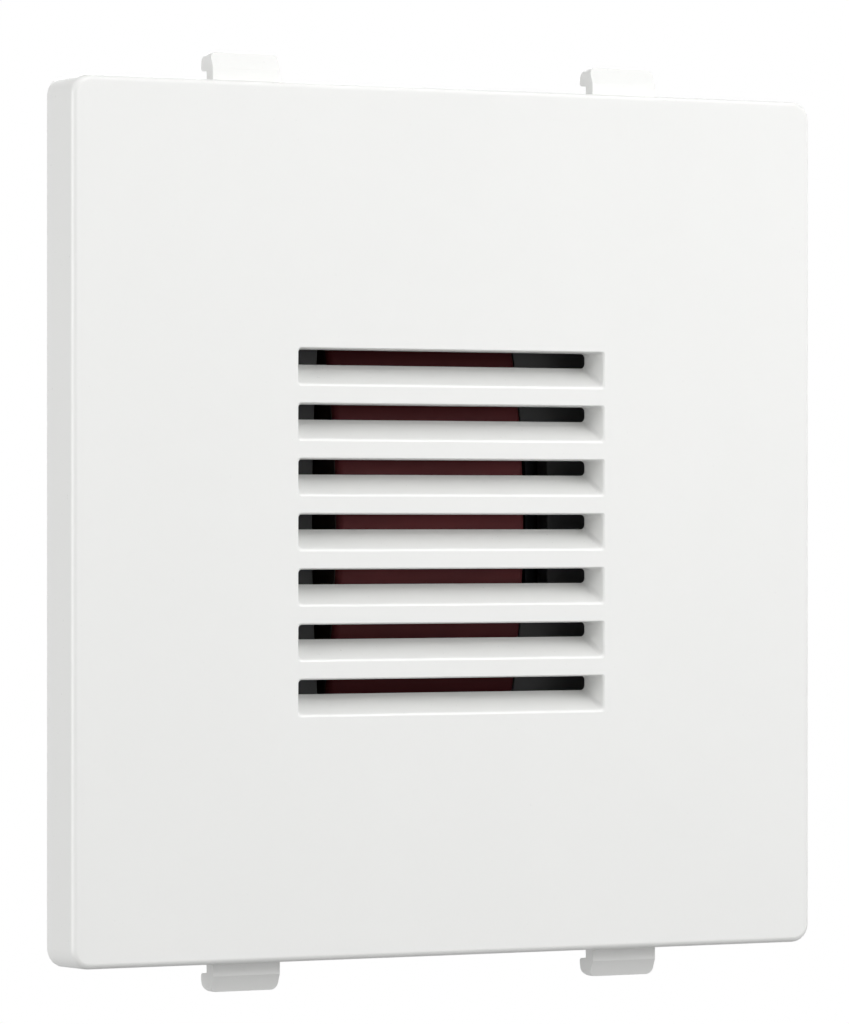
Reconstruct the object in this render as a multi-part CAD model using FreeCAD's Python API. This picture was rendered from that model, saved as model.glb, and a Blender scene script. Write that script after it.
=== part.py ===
"""Modular door buzzer, two modules wide, for a 45 mm wiring accessory frame.

A white cover with a sloped-slot grille snaps over a dark mechanism case. Inside
the case a coil on an iron core pulls a hinged armature, which hums behind the
grille. Two rising-cage screw terminals take the wires from below.

Millimetres. +Z is up, +X is to the viewer's right and the front face looks
towards -Y. The origin is the centre of the face, on the plane of the cover's
back rim, where the module meets its support frame.
"""
import FreeCAD, Part
import math
import os

V = FreeCAD.Vector

# Cover: face plate and its shallow rim
FACE_WIDTH = 45.0
FACE_HEIGHT = 45.0
RIM_DEPTH = 2.7
FACE_WALL = 1.85
RIM_WALL = 1.2
CORNER_RADIUS = 1.0
EDGE_RADIUS = 0.3

# Grille: each slot narrows from its mouth at the front to a flat hole behind
SLOT_COUNT = 7
SLOT_PITCH = 2.83
SLOT_WIDTH = 18.6
SLOT_MOUTH_ABOVE = 0.52
SLOT_MOUTH_BELOW = 1.45
SLOT_HOLE_HEIGHT = 0.77
SLOT_CORNER_RADIUS = 0.24
SLOT_EDGE_BEVEL = 0.1

# Frame claws on the top and bottom of the rim
CLAW_SPACING = 23.1
CLAW_WIDTH = 3.97
CLAW_HEIGHT = 1.52
CLAW_SETBACK = 1.5
CLAW_NECK = 0.68
CLAW_REACH = 1.25
CLAW_NOTCH = 0.54
CLAW_LEAN = 0.32
CLAW_LEAN_HEIGHT = 0.82
CLAW_BARB = 0.08
CLAW_NOSE_RADIUS = 0.72
CLAW_TIP_RADIUS = 0.35

# Mechanism case and the front plate that closes it
CASE_WIDTH = 23.2
CASE_ABOVE = 14.6
CASE_BELOW = 18.5
CASE_DEPTH = 13.0
CASE_WALL = 1.2
CASE_CORNER_RADIUS = 1.5
CASE_EDGE_CHAMFER = 0.5
PLATE_SETBACK = 3.4
PLATE_THICKNESS = 1.0
PLATE_CHAMFER = 0.25

# Opening in the plate, with bowed sides and a notch in front of the armature
APERTURE_WIDTH = 13.2
APERTURE_HEIGHT = 20.8
APERTURE_BOW_RADIUS = 73.0
APERTURE_CORNER_RADIUS = 0.8
NOTCH_REACH = 7.95
NOTCH_HEIGHT = 8.4

# Skirt of the cover that holds the case
SKIRT_CLEARANCE = 0.15
SKIRT_WALL = 1.1
SKIRT_DEPTH = 5.2
LEDGE_WIDTH = 0.8
RIB_THICKNESS = 0.8
RIB_PITCH = 11.5
SNAP_LENGTH = 5.0
SNAP_PITCH = 17.0
SNAP_DEPTH = 1.5
SNAP_BAND = 1.1
SNAP_HEIGHT = 0.6
SNAP_CLEARANCE = 0.2
WIRE_NOTCH_CLEARANCE = 0.4

# Screws that hold the plate on the case
PLATE_SCREW_RADIUS = 0.8
PLATE_SCREW_LENGTH = 5.0
PLATE_SCREW_HEAD_RADIUS = 1.3
PLATE_SCREW_HEAD_HEIGHT = 0.8
PILLAR_HALF = 1.6

# Coil: bobbin, winding and the bowed outer wrap
COIL_WIDTH = 11.5
COIL_HEIGHT = 20.0
COIL_DEPTH = 9.0
COIL_GAP = 0.2
COIL_SIDE_BOW_RADIUS = 34.6
COIL_END_BOW_RADIUS = 14.0
COIL_CORNER_RADIUS = 1.3
WRAP_THICKNESS = 0.25
WRAP_CLEARANCE = 0.03
WINDING_INSET = 0.3
FLANGE_THICKNESS = 0.6
BOBBIN_WALL = 0.7

# Core of stacked iron plates, with a copper ring in its pole face
LAMINATION_COUNT = 4
LAMINATION_THICKNESS = 0.6
CORE_HEIGHT = 10.0
CORE_CLEARANCE = 0.1
TENON_HEIGHT = 6.0
TENON_STAKE = 0.3
POLE_STANDOUT = 1.1
RING_SECTION = 0.5
RING_CLEARANCE = 0.05

# Yoke: an iron strip bent round the coil, with two hinge lugs
YOKE_THICKNESS = 1.8
YOKE_HEIGHT = 11.4
YOKE_BEND_RADIUS = 0.8
YOKE_COIL_GAP = 0.45
YOKE_PLATE_GAP = 0.3
LUG_WIDTH = 1.2
YOKE_SIDE_GAP = 0.65
YOKE_SCREW_SPACING = 7.0
YOKE_SCREW_RADIUS = 1.2
YOKE_SCREW_HEAD_RADIUS = 2.1
YOKE_SCREW_HEAD_HEIGHT = 1.1
YOKE_SCREW_CLEARANCE = 0.1
YOKE_SCREW_SINK = 0.2
YOKE_PAD_HALF = 3.2

# Armature, its hinge pin, return spring and rest pad
AIR_GAP = 0.6
ARMATURE_THICKNESS = 1.1
ARMATURE_FRONT_GAP = 0.4
HINGE_PIN_RADIUS = 0.5
HINGE_CLEARANCE = 0.05
PIN_SEAT_CLEARANCE = 0.01
BARREL_RADIUS = 1.1
RUNNING_GAP = 0.3
SPRING_THICKNESS = 0.25
SPRING_WIDTH = 5.0
SPRING_FRONT_REACH = 4.8
SPRING_TAIL = 2.8
RIVET_RADIUS = 0.5
RIVET_HEAD_RADIUS = 0.9
RIVET_HEAD_HEIGHT = 0.4
RIVET_PITCH = 2.0
SPRING_POST_DEPTH = 1.8
PAD_LENGTH = 2.0
PAD_HEIGHT = 4.0

# Screw terminals, one each side of the partition
PARTITION_THICKNESS = 1.8
CAGE_SIDE_GAP = 0.3
CAGE_HEIGHT = 4.4
CAGE_WALL = 0.8
CAGE_FLOOR = 1.0
CAGE_NUT = 1.6
CAGE_FRONT_GAP = 0.5
CAGE_BASE_GAP = 0.5
WIRE_GAP = 3.0
CLAMP_TRAVEL = 2.5
SCREW_RADIUS = 1.45
THREAD_CLEARANCE = 0.05
SCREW_TIP_GAP = 0.3
SCREW_HEAD_RADIUS = 2.1
SCREW_HEAD_HEIGHT = 2.2
SCREW_HEAD_CLEARANCE = 0.3
SCREW_SLOT_WIDTH = 0.6
SCREW_SLOT_DEPTH = 0.8
WIRE_ENTRY_RADIUS = 1.4

# Contact bars and coil leads
BAR_SIDE_GAP = 0.6
BAR_THICKNESS = 0.8
BAR_FOOT_LENGTH = 3.4
BAR_BASE_GAP = 0.2
BAR_CLEARANCE = 0.1
SHELF_THICKNESS = 0.8
SHELF_GAP = 1.2
LEAD_WIDTH = 0.6
LEAD_THICKNESS = 0.4
LEAD_HEIGHT = 8.0
LEAD_STANDOFF = 1.7
LEAD_BEND_RADIUS = 0.5

# Planes along the depth, from the face backwards
FACE_Y = -RIM_DEPTH
WALL_BACK_Y = FACE_Y + FACE_WALL
PLATE_Y = FACE_Y + PLATE_SETBACK
CASE_FRONT_Y = PLATE_Y + PLATE_THICKNESS
CASE_BACK_Y = CASE_FRONT_Y + CASE_DEPTH
CASE_FLOOR_Y = CASE_BACK_Y - CASE_WALL
COIL_FRONT_Y = WALL_BACK_Y + COIL_GAP
COIL_Y = COIL_FRONT_Y + COIL_DEPTH / 2
COIL_BACK_Y = COIL_Y + COIL_DEPTH / 2
YOKE_FRONT_Y = COIL_BACK_Y + YOKE_COIL_GAP
YOKE_BACK_Y = YOKE_FRONT_Y + YOKE_THICKNESS
HINGE_Y = (YOKE_FRONT_Y + YOKE_BACK_Y) / 2

# Places across the width and height
CASE_HEIGHT = CASE_ABOVE + CASE_BELOW
CASE_Z = (CASE_ABOVE - CASE_BELOW) / 2
CASE_INNER_X = CASE_WIDTH / 2 - CASE_WALL
CASE_INNER_TOP = CASE_ABOVE - CASE_WALL
CASE_INNER_BASE = -CASE_BELOW + CASE_WALL
CORE_DEPTH = LAMINATION_COUNT * LAMINATION_THICKNESS
POLE_X = COIL_WIDTH / 2 + POLE_STANDOUT
YOKE_INNER_X = -COIL_WIDTH / 2 - YOKE_SIDE_GAP
YOKE_OUTER_X = YOKE_INNER_X - YOKE_THICKNESS
ARMATURE_X = POLE_X + AIR_GAP
ARMATURE_BACK_X = ARMATURE_X + ARMATURE_THICKNESS
HINGE_X = ARMATURE_BACK_X - BARREL_RADIUS
ARMATURE_HEIGHT = YOKE_HEIGHT - 2 * (LUG_WIDTH + RUNNING_GAP)
ARMATURE_FRONT_Y = CASE_FRONT_Y + ARMATURE_FRONT_GAP
SHELF_TOP_Z = -COIL_HEIGHT / 2 - SHELF_GAP
CAGE_BASE_Z = CASE_INNER_BASE + CAGE_BASE_GAP
TERMINAL_Z = CAGE_BASE_Z + CAGE_HEIGHT / 2
CAGE_FRONT_Y = CASE_FRONT_Y + CAGE_FRONT_GAP
WINDOW_Y = CAGE_FRONT_Y + CAGE_FLOOR
WIRE_Y = WINDOW_Y + WIRE_GAP / 2
BAR_Y = WINDOW_Y + WIRE_GAP
BAR_BACK_Y = BAR_Y + BAR_THICKNESS
SCREW_TIP_Y = BAR_BACK_Y + SCREW_TIP_GAP
NUT_Y = SCREW_TIP_Y
CAGE_BACK_Y = NUT_Y + CAGE_NUT
SCREW_HEAD_Y = CAGE_BACK_Y + CLAMP_TRAVEL + RUNNING_GAP
PLATE_SCREW_X = CASE_INNER_X - PLATE_SCREW_HEAD_RADIUS
CAGE_INNER_X = PARTITION_THICKNESS / 2 + CAGE_SIDE_GAP
CAGE_OUTER_X = PLATE_SCREW_X - PILLAR_HALF - CAGE_SIDE_GAP
CAGE_WIDTH = CAGE_OUTER_X - CAGE_INNER_X
TERMINAL_X = (CAGE_INNER_X + CAGE_OUTER_X) / 2
BAR_WIDTH = CAGE_WIDTH - 2 * CAGE_WALL - 2 * BAR_SIDE_GAP
YOKE_SCREW_SEAT_Y = CASE_BACK_Y - YOKE_SCREW_SINK - YOKE_SCREW_HEAD_HEIGHT


def block(x0, x1, y0, y1, z0, z1):
    """Rectangular solid between two corners."""
    return Part.makeBox(x1 - x0, y1 - y0, z1 - z0, V(x0, y0, z0))


def rod(radius, start, end):
    """Round solid between two centres."""
    span = end - start
    return Part.makeCylinder(radius, span.Length, start, span)


def prism(points, direction):
    """Solid made by moving a closed outline of straight edges."""
    wire = Part.makePolygon(points + [points[0]])
    return Part.Face(wire).extrude(direction)


def rounded_outline(width, height, radius, y, z_mid=0.0):
    """Closed outline of a rectangle with round corners, in a plane across Y."""
    x = width / 2
    z = height / 2
    edges = []
    for turn in range(4):
        sx, sz = [(1, 1), (-1, 1), (-1, -1), (1, -1)][turn]
        centre = V(sx * (x - radius), y, z_mid + sz * (z - radius))
        first = 90 * turn
        arc = [V(centre.x + radius * math.cos(math.radians(first + step)), y,
                 centre.z + radius * math.sin(math.radians(first + step)))
               for step in (0, 45, 90)]
        if edges:
            edges.append(Part.LineSegment(edges[-1].EndPoint, arc[0]))
        edges.append(Part.Arc(*arc))
    edges.append(Part.LineSegment(edges[-1].EndPoint, edges[0].StartPoint))
    return Part.Wire([edge.toShape() for edge in edges])


def rounded_block(width, height, radius, y0, y1, z_mid=0.0):
    """Block with round corners, seen from the front, between two depths."""
    outline = rounded_outline(width, height, radius, y0, z_mid)
    return Part.Face(outline).extrude(V(0, y1 - y0, 0))


def edges_where(shape, test):
    """Edges whose middle point passes a test."""
    picked = []
    for edge in shape.Edges:
        middle = edge.valueAt((edge.FirstParameter + edge.LastParameter) / 2)
        if test(middle, edge):
            picked.append(edge)
    return picked


def slot_outline(z_mid, depth, growth):
    """Points round a slot at one depth behind the face, with its corners rounded in two steps."""
    share = depth / FACE_WALL
    low = z_mid - SLOT_MOUTH_BELOW - share * (SLOT_HOLE_HEIGHT / 2 - SLOT_MOUTH_BELOW) - growth
    high = z_mid + SLOT_MOUTH_ABOVE + share * (SLOT_HOLE_HEIGHT / 2 - SLOT_MOUTH_ABOVE) + growth
    radius = SLOT_CORNER_RADIUS
    x = SLOT_WIDTH / 2 + growth - radius
    points = []
    for turn in range(4):
        centre_x, centre_z = [(x, high - radius), (-x, high - radius),
                              (-x, low + radius), (x, low + radius)][turn]
        for step in (0, 45, 90):
            angle = math.radians(90 * turn + step)
            points.append(V(centre_x + radius * math.cos(angle), FACE_Y + depth,
                            centre_z + radius * math.sin(angle)))
    return points


def slot_cutter(z_mid):
    """One grille slot: flat sides from its bevelled mouth at the front to the hole behind."""
    sections = [
        slot_outline(z_mid, 0.0, SLOT_EDGE_BEVEL),
        slot_outline(z_mid, SLOT_EDGE_BEVEL, 0.0),
        slot_outline(z_mid, FACE_WALL, 0.0),
    ]
    loops = [sections[0], sections[-1]]
    for front, back in zip(sections, sections[1:]):
        for index in range(len(front)):
            loops.append([front[index - 1], front[index], back[index], back[index - 1]])
    faces = [Part.Face(Part.makePolygon(loop + loop[:1])) for loop in loops]
    return Part.makeSolid(Part.makeShell(faces))


def claw(x_mid):
    """One frame claw on the top of the rim: a leaning front, a neck and a rounded nose."""
    front = FACE_Y + CLAW_SETBACK
    root = FACE_HEIGHT / 2 - RIM_WALL / 2
    base = FACE_HEIGHT / 2
    top = base + CLAW_HEIGHT
    x = x_mid - CLAW_WIDTH / 2
    nose = front + CLAW_REACH
    outline = [
        V(x, front, root),
        V(x, front, top - CLAW_LEAN_HEIGHT),
        V(x, front + CLAW_LEAN, top),
        V(x, nose, top),
        V(x, nose, base + CLAW_NOTCH - CLAW_BARB),
        V(x, front + CLAW_NECK, base + CLAW_NOTCH),
        V(x, front + CLAW_NECK, root),
    ]
    profile = prism(outline, V(CLAW_WIDTH, 0, 0))

    def nose_top(middle, edge):
        return abs(middle.y - nose) < 1e-4 and abs(middle.z - top) < 1e-4
    profile = profile.makeFillet(CLAW_NOSE_RADIUS, edges_where(profile, nose_top))
    blank = block(x, x + CLAW_WIDTH, front, nose, root, top)

    def tip_corner(middle, edge):
        return abs(middle.z - top) < 1e-4 and abs(abs(middle.x - x_mid) - CLAW_WIDTH / 2) < 1e-4
    blank = blank.makeFillet(CLAW_TIP_RADIUS, edges_where(blank, tip_corner))
    return blank.common(profile)


def snap_heights():
    """Z of the lower and the upper snap."""
    return [CASE_Z - SNAP_PITCH / 2, CASE_Z + SNAP_PITCH / 2]


def snap_windows(half_width):
    """Windows in the skirt's sides, where the snaps of the case click in."""
    back = WALL_BACK_Y + SKIRT_DEPTH - SNAP_BAND
    windows = []
    for side in (-1, 1):
        for z_mid in snap_heights():
            inner = side * (half_width - SKIRT_WALL - SKIRT_CLEARANCE)
            outer = side * (half_width + SKIRT_CLEARANCE)
            windows.append(block(min(inner, outer), max(inner, outer),
                                 back - SNAP_DEPTH - SNAP_CLEARANCE, back,
                                 z_mid - SNAP_LENGTH / 2 - SNAP_CLEARANCE,
                                 z_mid + SNAP_LENGTH / 2 + SNAP_CLEARANCE))
    return windows


def wire_notches(back):
    """Round-ended notches in the skirt's lower wall, which let the wires in."""
    radius = WIRE_ENTRY_RADIUS + WIRE_NOTCH_CLEARANCE
    top = -CASE_BELOW
    base = top - SKIRT_CLEARANCE - SKIRT_WALL
    notches = []
    for x in terminal_places().values():
        notches.append(rod(radius, V(x, WIRE_Y, base), V(x, WIRE_Y, top)))
        notches.append(block(x - radius, x + radius, WIRE_Y, max(back, WIRE_Y + radius), base, top))
    return notches


def skirt():
    """Rectangular wall behind the face that the mechanism case slides into."""
    inner_width = CASE_WIDTH + 2 * SKIRT_CLEARANCE
    inner_height = CASE_HEIGHT + 2 * SKIRT_CLEARANCE
    inner_radius = CASE_CORNER_RADIUS + SKIRT_CLEARANCE
    back = WALL_BACK_Y + SKIRT_DEPTH
    wall = rounded_block(inner_width + 2 * SKIRT_WALL, inner_height + 2 * SKIRT_WALL,
                         inner_radius + SKIRT_WALL, WALL_BACK_Y, back, CASE_Z)
    pocket = rounded_block(inner_width, inner_height, inner_radius, PLATE_Y, back, CASE_Z)
    throat_x = inner_width / 2 - LEDGE_WIDTH
    throat_z = inner_height / 2 - LEDGE_WIDTH
    throat = block(-throat_x, throat_x, WALL_BACK_Y, PLATE_Y, CASE_Z - throat_z, CASE_Z + throat_z)
    ring = wall.cut(pocket).cut(throat)
    return ring.cut(snap_windows(inner_width / 2 + SKIRT_WALL) + wire_notches(back))


def back_ribs():
    """Stiffening ribs between the skirt and the rim."""
    to_skirt = SKIRT_CLEARANCE + SKIRT_WALL / 2
    skirt_x = CASE_WIDTH / 2 + to_skirt
    rim_x = (FACE_WIDTH - RIM_WALL) / 2
    rim_z = (FACE_HEIGHT - RIM_WALL) / 2
    half = RIB_THICKNESS / 2
    wall_mid = WALL_BACK_Y - FACE_WALL / 2
    ribs = []
    for side in (-1, 1):
        low, high = sorted((side * skirt_x, side * rim_x))
        for step in (-1, 0, 1):
            z = CASE_Z + step * RIB_PITCH
            ribs.append(block(low, high, wall_mid, 0, z - half, z + half))
    for step in (-0.5, 0.5):
        x = step * RIB_PITCH
        ribs.append(block(x - half, x + half, wall_mid, 0, CASE_ABOVE + to_skirt, rim_z))
        ribs.append(block(x - half, x + half, wall_mid, 0, -rim_z, -CASE_BELOW - to_skirt))
    return ribs


def front_cover():
    """White cover: face with its grille, rim, claws, skirt and ribs."""
    body = rounded_block(FACE_WIDTH, FACE_HEIGHT, CORNER_RADIUS, FACE_Y, 0)

    def front_edge(middle, edge):
        return abs(middle.y - FACE_Y) < 1e-4
    body = body.makeFillet(EDGE_RADIUS, edges_where(body, front_edge))
    inner_x = FACE_WIDTH / 2 - RIM_WALL
    inner_z = FACE_HEIGHT / 2 - RIM_WALL
    hollow = block(-inner_x, inner_x, WALL_BACK_Y, 0, -inner_z, inner_z)
    body = body.cut(hollow)
    first = -(SLOT_COUNT - 1) / 2 * SLOT_PITCH
    slots = [slot_cutter(first + row * SLOT_PITCH) for row in range(SLOT_COUNT)]
    body = body.cut(slots)
    claws = []
    for x_mid in (-CLAW_SPACING / 2, CLAW_SPACING / 2):
        upper = claw(x_mid)
        claws.append(upper)
        claws.append(upper.mirror(V(0, 0, 0), V(0, 0, 1)))
    return body.fuse(claws + [skirt()] + back_ribs()).removeSplitter()


def plate_screw_places():
    """Centres of the two plate screws in opposite corners, as X and Z."""
    high = CASE_INNER_TOP - PLATE_SCREW_HEAD_RADIUS
    low = CASE_INNER_BASE + PLATE_SCREW_HEAD_RADIUS
    return [(-PLATE_SCREW_X, low), (PLATE_SCREW_X, high)]


def aperture_cutter():
    """Opening of the plate: two bowed sides, flat ends and a notch to the right."""
    half_x = APERTURE_WIDTH / 2
    half_z = APERTURE_HEIGHT / 2
    sag = APERTURE_BOW_RADIUS - math.sqrt(APERTURE_BOW_RADIUS ** 2 - half_z ** 2)
    end_x = half_x - sag
    right = Part.Arc(V(end_x, PLATE_Y, -half_z), V(half_x, PLATE_Y, 0), V(end_x, PLATE_Y, half_z))
    left = Part.Arc(V(-end_x, PLATE_Y, half_z), V(-half_x, PLATE_Y, 0), V(-end_x, PLATE_Y, -half_z))
    top = Part.LineSegment(right.EndPoint, left.StartPoint)
    bottom = Part.LineSegment(left.EndPoint, right.StartPoint)
    wire = Part.Wire([edge.toShape() for edge in (right, top, left, bottom)])
    opening = Part.Face(wire).extrude(V(0, PLATE_THICKNESS, 0))

    def upright_corner(middle, edge):
        return abs(abs(middle.z) - half_z) < 1e-4 and abs(abs(middle.x) - end_x) < 1e-4
    opening = opening.makeFillet(APERTURE_CORNER_RADIUS, edges_where(opening, upright_corner))
    notch = block(0, NOTCH_REACH, PLATE_Y, CASE_FRONT_Y, -NOTCH_HEIGHT / 2, NOTCH_HEIGHT / 2)
    return opening.fuse(notch).removeSplitter()


def mechanism_plate():
    """Dark plate over the case, with the coil standing through its opening."""
    plate = rounded_block(CASE_WIDTH, CASE_HEIGHT, CASE_CORNER_RADIUS,
                          PLATE_Y, CASE_FRONT_Y, CASE_Z)
    plate = plate.cut(aperture_cutter())

    def opening_edge(middle, edge):
        return (abs(middle.y - PLATE_Y) < 1e-4 and abs(middle.x) < NOTCH_REACH + 1e-3
                and abs(middle.z) < APERTURE_HEIGHT / 2 + 1e-3)
    plate = plate.makeChamfer(PLATE_CHAMFER, edges_where(plate, opening_edge))
    holes = [rod(PLATE_SCREW_RADIUS, V(x, PLATE_Y, z), V(x, CASE_FRONT_Y, z))
             for x, z in plate_screw_places()]
    return plate.cut(holes)


def plate_screws():
    """Two flat-headed screws through the plate into the corner pillars."""
    screws = []
    for x, z in plate_screw_places():
        seat = V(x, PLATE_Y, z)
        head = rod(PLATE_SCREW_HEAD_RADIUS, V(x, PLATE_Y - PLATE_SCREW_HEAD_HEIGHT, z), seat)
        shank = rod(PLATE_SCREW_RADIUS, seat, V(x, PLATE_Y + PLATE_SCREW_LENGTH, z))
        screws.append(head.fuse(shank))
    return Part.makeCompound(screws)


def terminal_places():
    """X of the left and the right terminal, with the name of each."""
    return {"left": -TERMINAL_X, "right": TERMINAL_X}


def yoke_screw_places():
    """X of the two yoke screws, about the middle of the yoke's long side."""
    notch_x = HINGE_X - BARREL_RADIUS - RUNNING_GAP
    middle = (YOKE_OUTER_X + notch_x) / 2
    return [middle - YOKE_SCREW_SPACING / 2, middle + YOKE_SCREW_SPACING / 2]


def snap_wedge(side, z_mid):
    """One snap on the side of the case: a ramp that rises towards the back."""
    back = WALL_BACK_Y + SKIRT_DEPTH - SNAP_BAND - SNAP_CLEARANCE / 2
    x = side * CASE_WIDTH / 2
    z = z_mid - SNAP_LENGTH / 2
    outline = [
        V(x - side * CASE_WALL / 2, back - SNAP_DEPTH + SNAP_CLEARANCE, z),
        V(x, back - SNAP_DEPTH + SNAP_CLEARANCE, z),
        V(x + side * SNAP_HEIGHT, back - SNAP_CLEARANCE, z),
        V(x + side * SNAP_HEIGHT, back, z),
        V(x - side * CASE_WALL / 2, back, z),
    ]
    return prism(outline, V(0, 0, SNAP_LENGTH))


def case_inner_walls():
    """Corner pillars, yoke pad, shelf, partition and spring post inside the case."""
    edge_x = CASE_INNER_X + CASE_WALL / 2
    base_z = CASE_INNER_BASE - CASE_WALL / 2
    top_z = CASE_INNER_TOP + CASE_WALL / 2
    floor = CASE_FLOOR_Y + CASE_WALL / 2
    pieces = []
    for x, z in plate_screw_places():
        inner_x, outer_x = x - math.copysign(PILLAR_HALF, x), math.copysign(edge_x, x)
        inner_z, outer_z = z - math.copysign(PILLAR_HALF, z), top_z if z > 0 else base_z
        pieces.append(block(min(inner_x, outer_x), max(inner_x, outer_x), CASE_FRONT_Y, floor,
                            min(inner_z, outer_z), max(inner_z, outer_z)))
    screw_x = yoke_screw_places()
    pieces.append(block(screw_x[0] - YOKE_PAD_HALF, screw_x[-1] + YOKE_PAD_HALF,
                        YOKE_BACK_Y, floor, -YOKE_PAD_HALF, YOKE_PAD_HALF))
    pieces.append(block(-edge_x, edge_x, CASE_FRONT_Y, floor,
                        SHELF_TOP_Z - SHELF_THICKNESS, SHELF_TOP_Z))
    pieces.append(block(-PARTITION_THICKNESS / 2, PARTITION_THICKNESS / 2, CASE_FRONT_Y, floor,
                        base_z, SHELF_TOP_Z))
    post_x = ARMATURE_BACK_X + SPRING_THICKNESS + RUNNING_GAP
    pieces.append(block(post_x, edge_x, CASE_FLOOR_Y - SPRING_POST_DEPTH, floor,
                        -SPRING_WIDTH / 2, SPRING_WIDTH / 2))
    return pieces


def case_cutters():
    """Screw holes, tool holes, wire entries and bar slots of the case."""
    cutters = []
    for x, z in plate_screw_places():
        cutters.append(rod(PLATE_SCREW_RADIUS, V(x, CASE_FRONT_Y, z),
                           V(x, PLATE_Y + PLATE_SCREW_LENGTH, z)))
    for x in yoke_screw_places():
        cutters.append(rod(YOKE_SCREW_RADIUS + YOKE_SCREW_CLEARANCE,
                           V(x, YOKE_BACK_Y, 0), V(x, CASE_BACK_Y, 0)))
        cutters.append(rod(YOKE_SCREW_HEAD_RADIUS + YOKE_SCREW_CLEARANCE,
                           V(x, YOKE_SCREW_SEAT_Y, 0), V(x, CASE_BACK_Y, 0)))
    for x in terminal_places().values():
        cutters.append(rod(SCREW_HEAD_RADIUS + SCREW_HEAD_CLEARANCE,
                           V(x, CASE_FLOOR_Y, TERMINAL_Z), V(x, CASE_BACK_Y, TERMINAL_Z)))
        cutters.append(rod(WIRE_ENTRY_RADIUS, V(x, WIRE_Y, -CASE_BELOW),
                           V(x, WIRE_Y, CASE_INNER_BASE)))
        half = BAR_WIDTH / 2 + BAR_CLEARANCE
        cutters.append(block(x - half, x + half, BAR_Y - BAR_CLEARANCE, BAR_BACK_Y + BAR_CLEARANCE,
                             SHELF_TOP_Z - SHELF_THICKNESS, SHELF_TOP_Z))
    return cutters


def mechanism_case():
    """Dark open-fronted case with its bosses, shelf, snaps and holes."""
    body = rounded_block(CASE_WIDTH, CASE_HEIGHT, CASE_CORNER_RADIUS,
                         CASE_FRONT_Y, CASE_BACK_Y, CASE_Z)

    def back_edge(middle, edge):
        return abs(middle.y - CASE_BACK_Y) < 1e-4
    body = body.makeChamfer(CASE_EDGE_CHAMFER, edges_where(body, back_edge))
    hollow = block(-CASE_INNER_X, CASE_INNER_X, CASE_FRONT_Y, CASE_FLOOR_Y,
                   CASE_INNER_BASE, CASE_INNER_TOP)
    body = body.cut(hollow)
    snaps = [snap_wedge(side, z) for side in (-1, 1) for z in snap_heights()]
    body = body.fuse(case_inner_walls() + snaps)
    return body.cut(case_cutters()).removeSplitter()


def coil_side_depth(z, inset):
    """Distance of the coil's bowed side from its middle plane, at a height."""
    radius = COIL_SIDE_BOW_RADIUS - inset
    return COIL_DEPTH / 2 - inset - radius + math.sqrt(radius ** 2 - z ** 2)


def coil_section(inset, x0, x1):
    """Bowed coil body with round corners, drawn in from the wrap by an inset."""
    half_z = COIL_HEIGHT / 2 - inset
    half_y = COIL_DEPTH / 2 - inset
    corner_y = coil_side_depth(half_z, inset)
    end_radius = COIL_END_BOW_RADIUS - inset
    corner_z = half_z - end_radius + math.sqrt(end_radius ** 2 - corner_y ** 2)
    corner_y = coil_side_depth(corner_z, inset)

    def at(y, z):
        return V(x0, COIL_Y + y, z)
    arcs = [
        Part.Arc(at(-corner_y, -corner_z), at(-half_y, 0), at(-corner_y, corner_z)),
        Part.Arc(at(-corner_y, corner_z), at(0, half_z), at(corner_y, corner_z)),
        Part.Arc(at(corner_y, corner_z), at(half_y, 0), at(corner_y, -corner_z)),
        Part.Arc(at(corner_y, -corner_z), at(0, -half_z), at(-corner_y, -corner_z)),
    ]
    wire = Part.Wire([arc.toShape() for arc in arcs])
    solid = Part.Face(wire).extrude(V(x1 - x0, 0, 0))

    def long_corner(middle, edge):
        return abs(abs(middle.z) - corner_z) < 1e-3 and abs(abs(middle.y - COIL_Y) - corner_y) < 1e-3
    return solid.makeFillet(COIL_CORNER_RADIUS - inset, edges_where(solid, long_corner))


def core_tunnel(clearance, x0, x1):
    """Block round the core's section, wider by a clearance."""
    half_y = CORE_DEPTH / 2 + clearance
    half_z = CORE_HEIGHT / 2 + clearance
    return block(x0, x1, COIL_Y - half_y, COIL_Y + half_y, -half_z, half_z)


def coil_wrap():
    """Thin dark red wrap round the whole coil."""
    half = COIL_WIDTH / 2
    outer = coil_section(0.0, -half, half)
    return outer.cut(coil_section(WRAP_THICKNESS, -half, half))


def coil_bobbin():
    """Plastic bobbin: a square tube with two flanges."""
    half = COIL_WIDTH / 2
    inset = WRAP_THICKNESS + WRAP_CLEARANCE
    left = coil_section(inset, -half, -half + FLANGE_THICKNESS)
    right = coil_section(inset, half - FLANGE_THICKNESS, half)
    tube = core_tunnel(CORE_CLEARANCE + BOBBIN_WALL, -half, half)
    return tube.fuse([left, right]).cut(core_tunnel(CORE_CLEARANCE, -half, half)).removeSplitter()


def coil_winding():
    """Copper winding between the flanges."""
    half = COIL_WIDTH / 2 - FLANGE_THICKNESS
    inset = WRAP_THICKNESS + WRAP_CLEARANCE + WINDING_INSET
    tube = core_tunnel(CORE_CLEARANCE + BOBBIN_WALL, -half, half)
    return coil_section(inset, -half, half).cut(tube)


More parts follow.
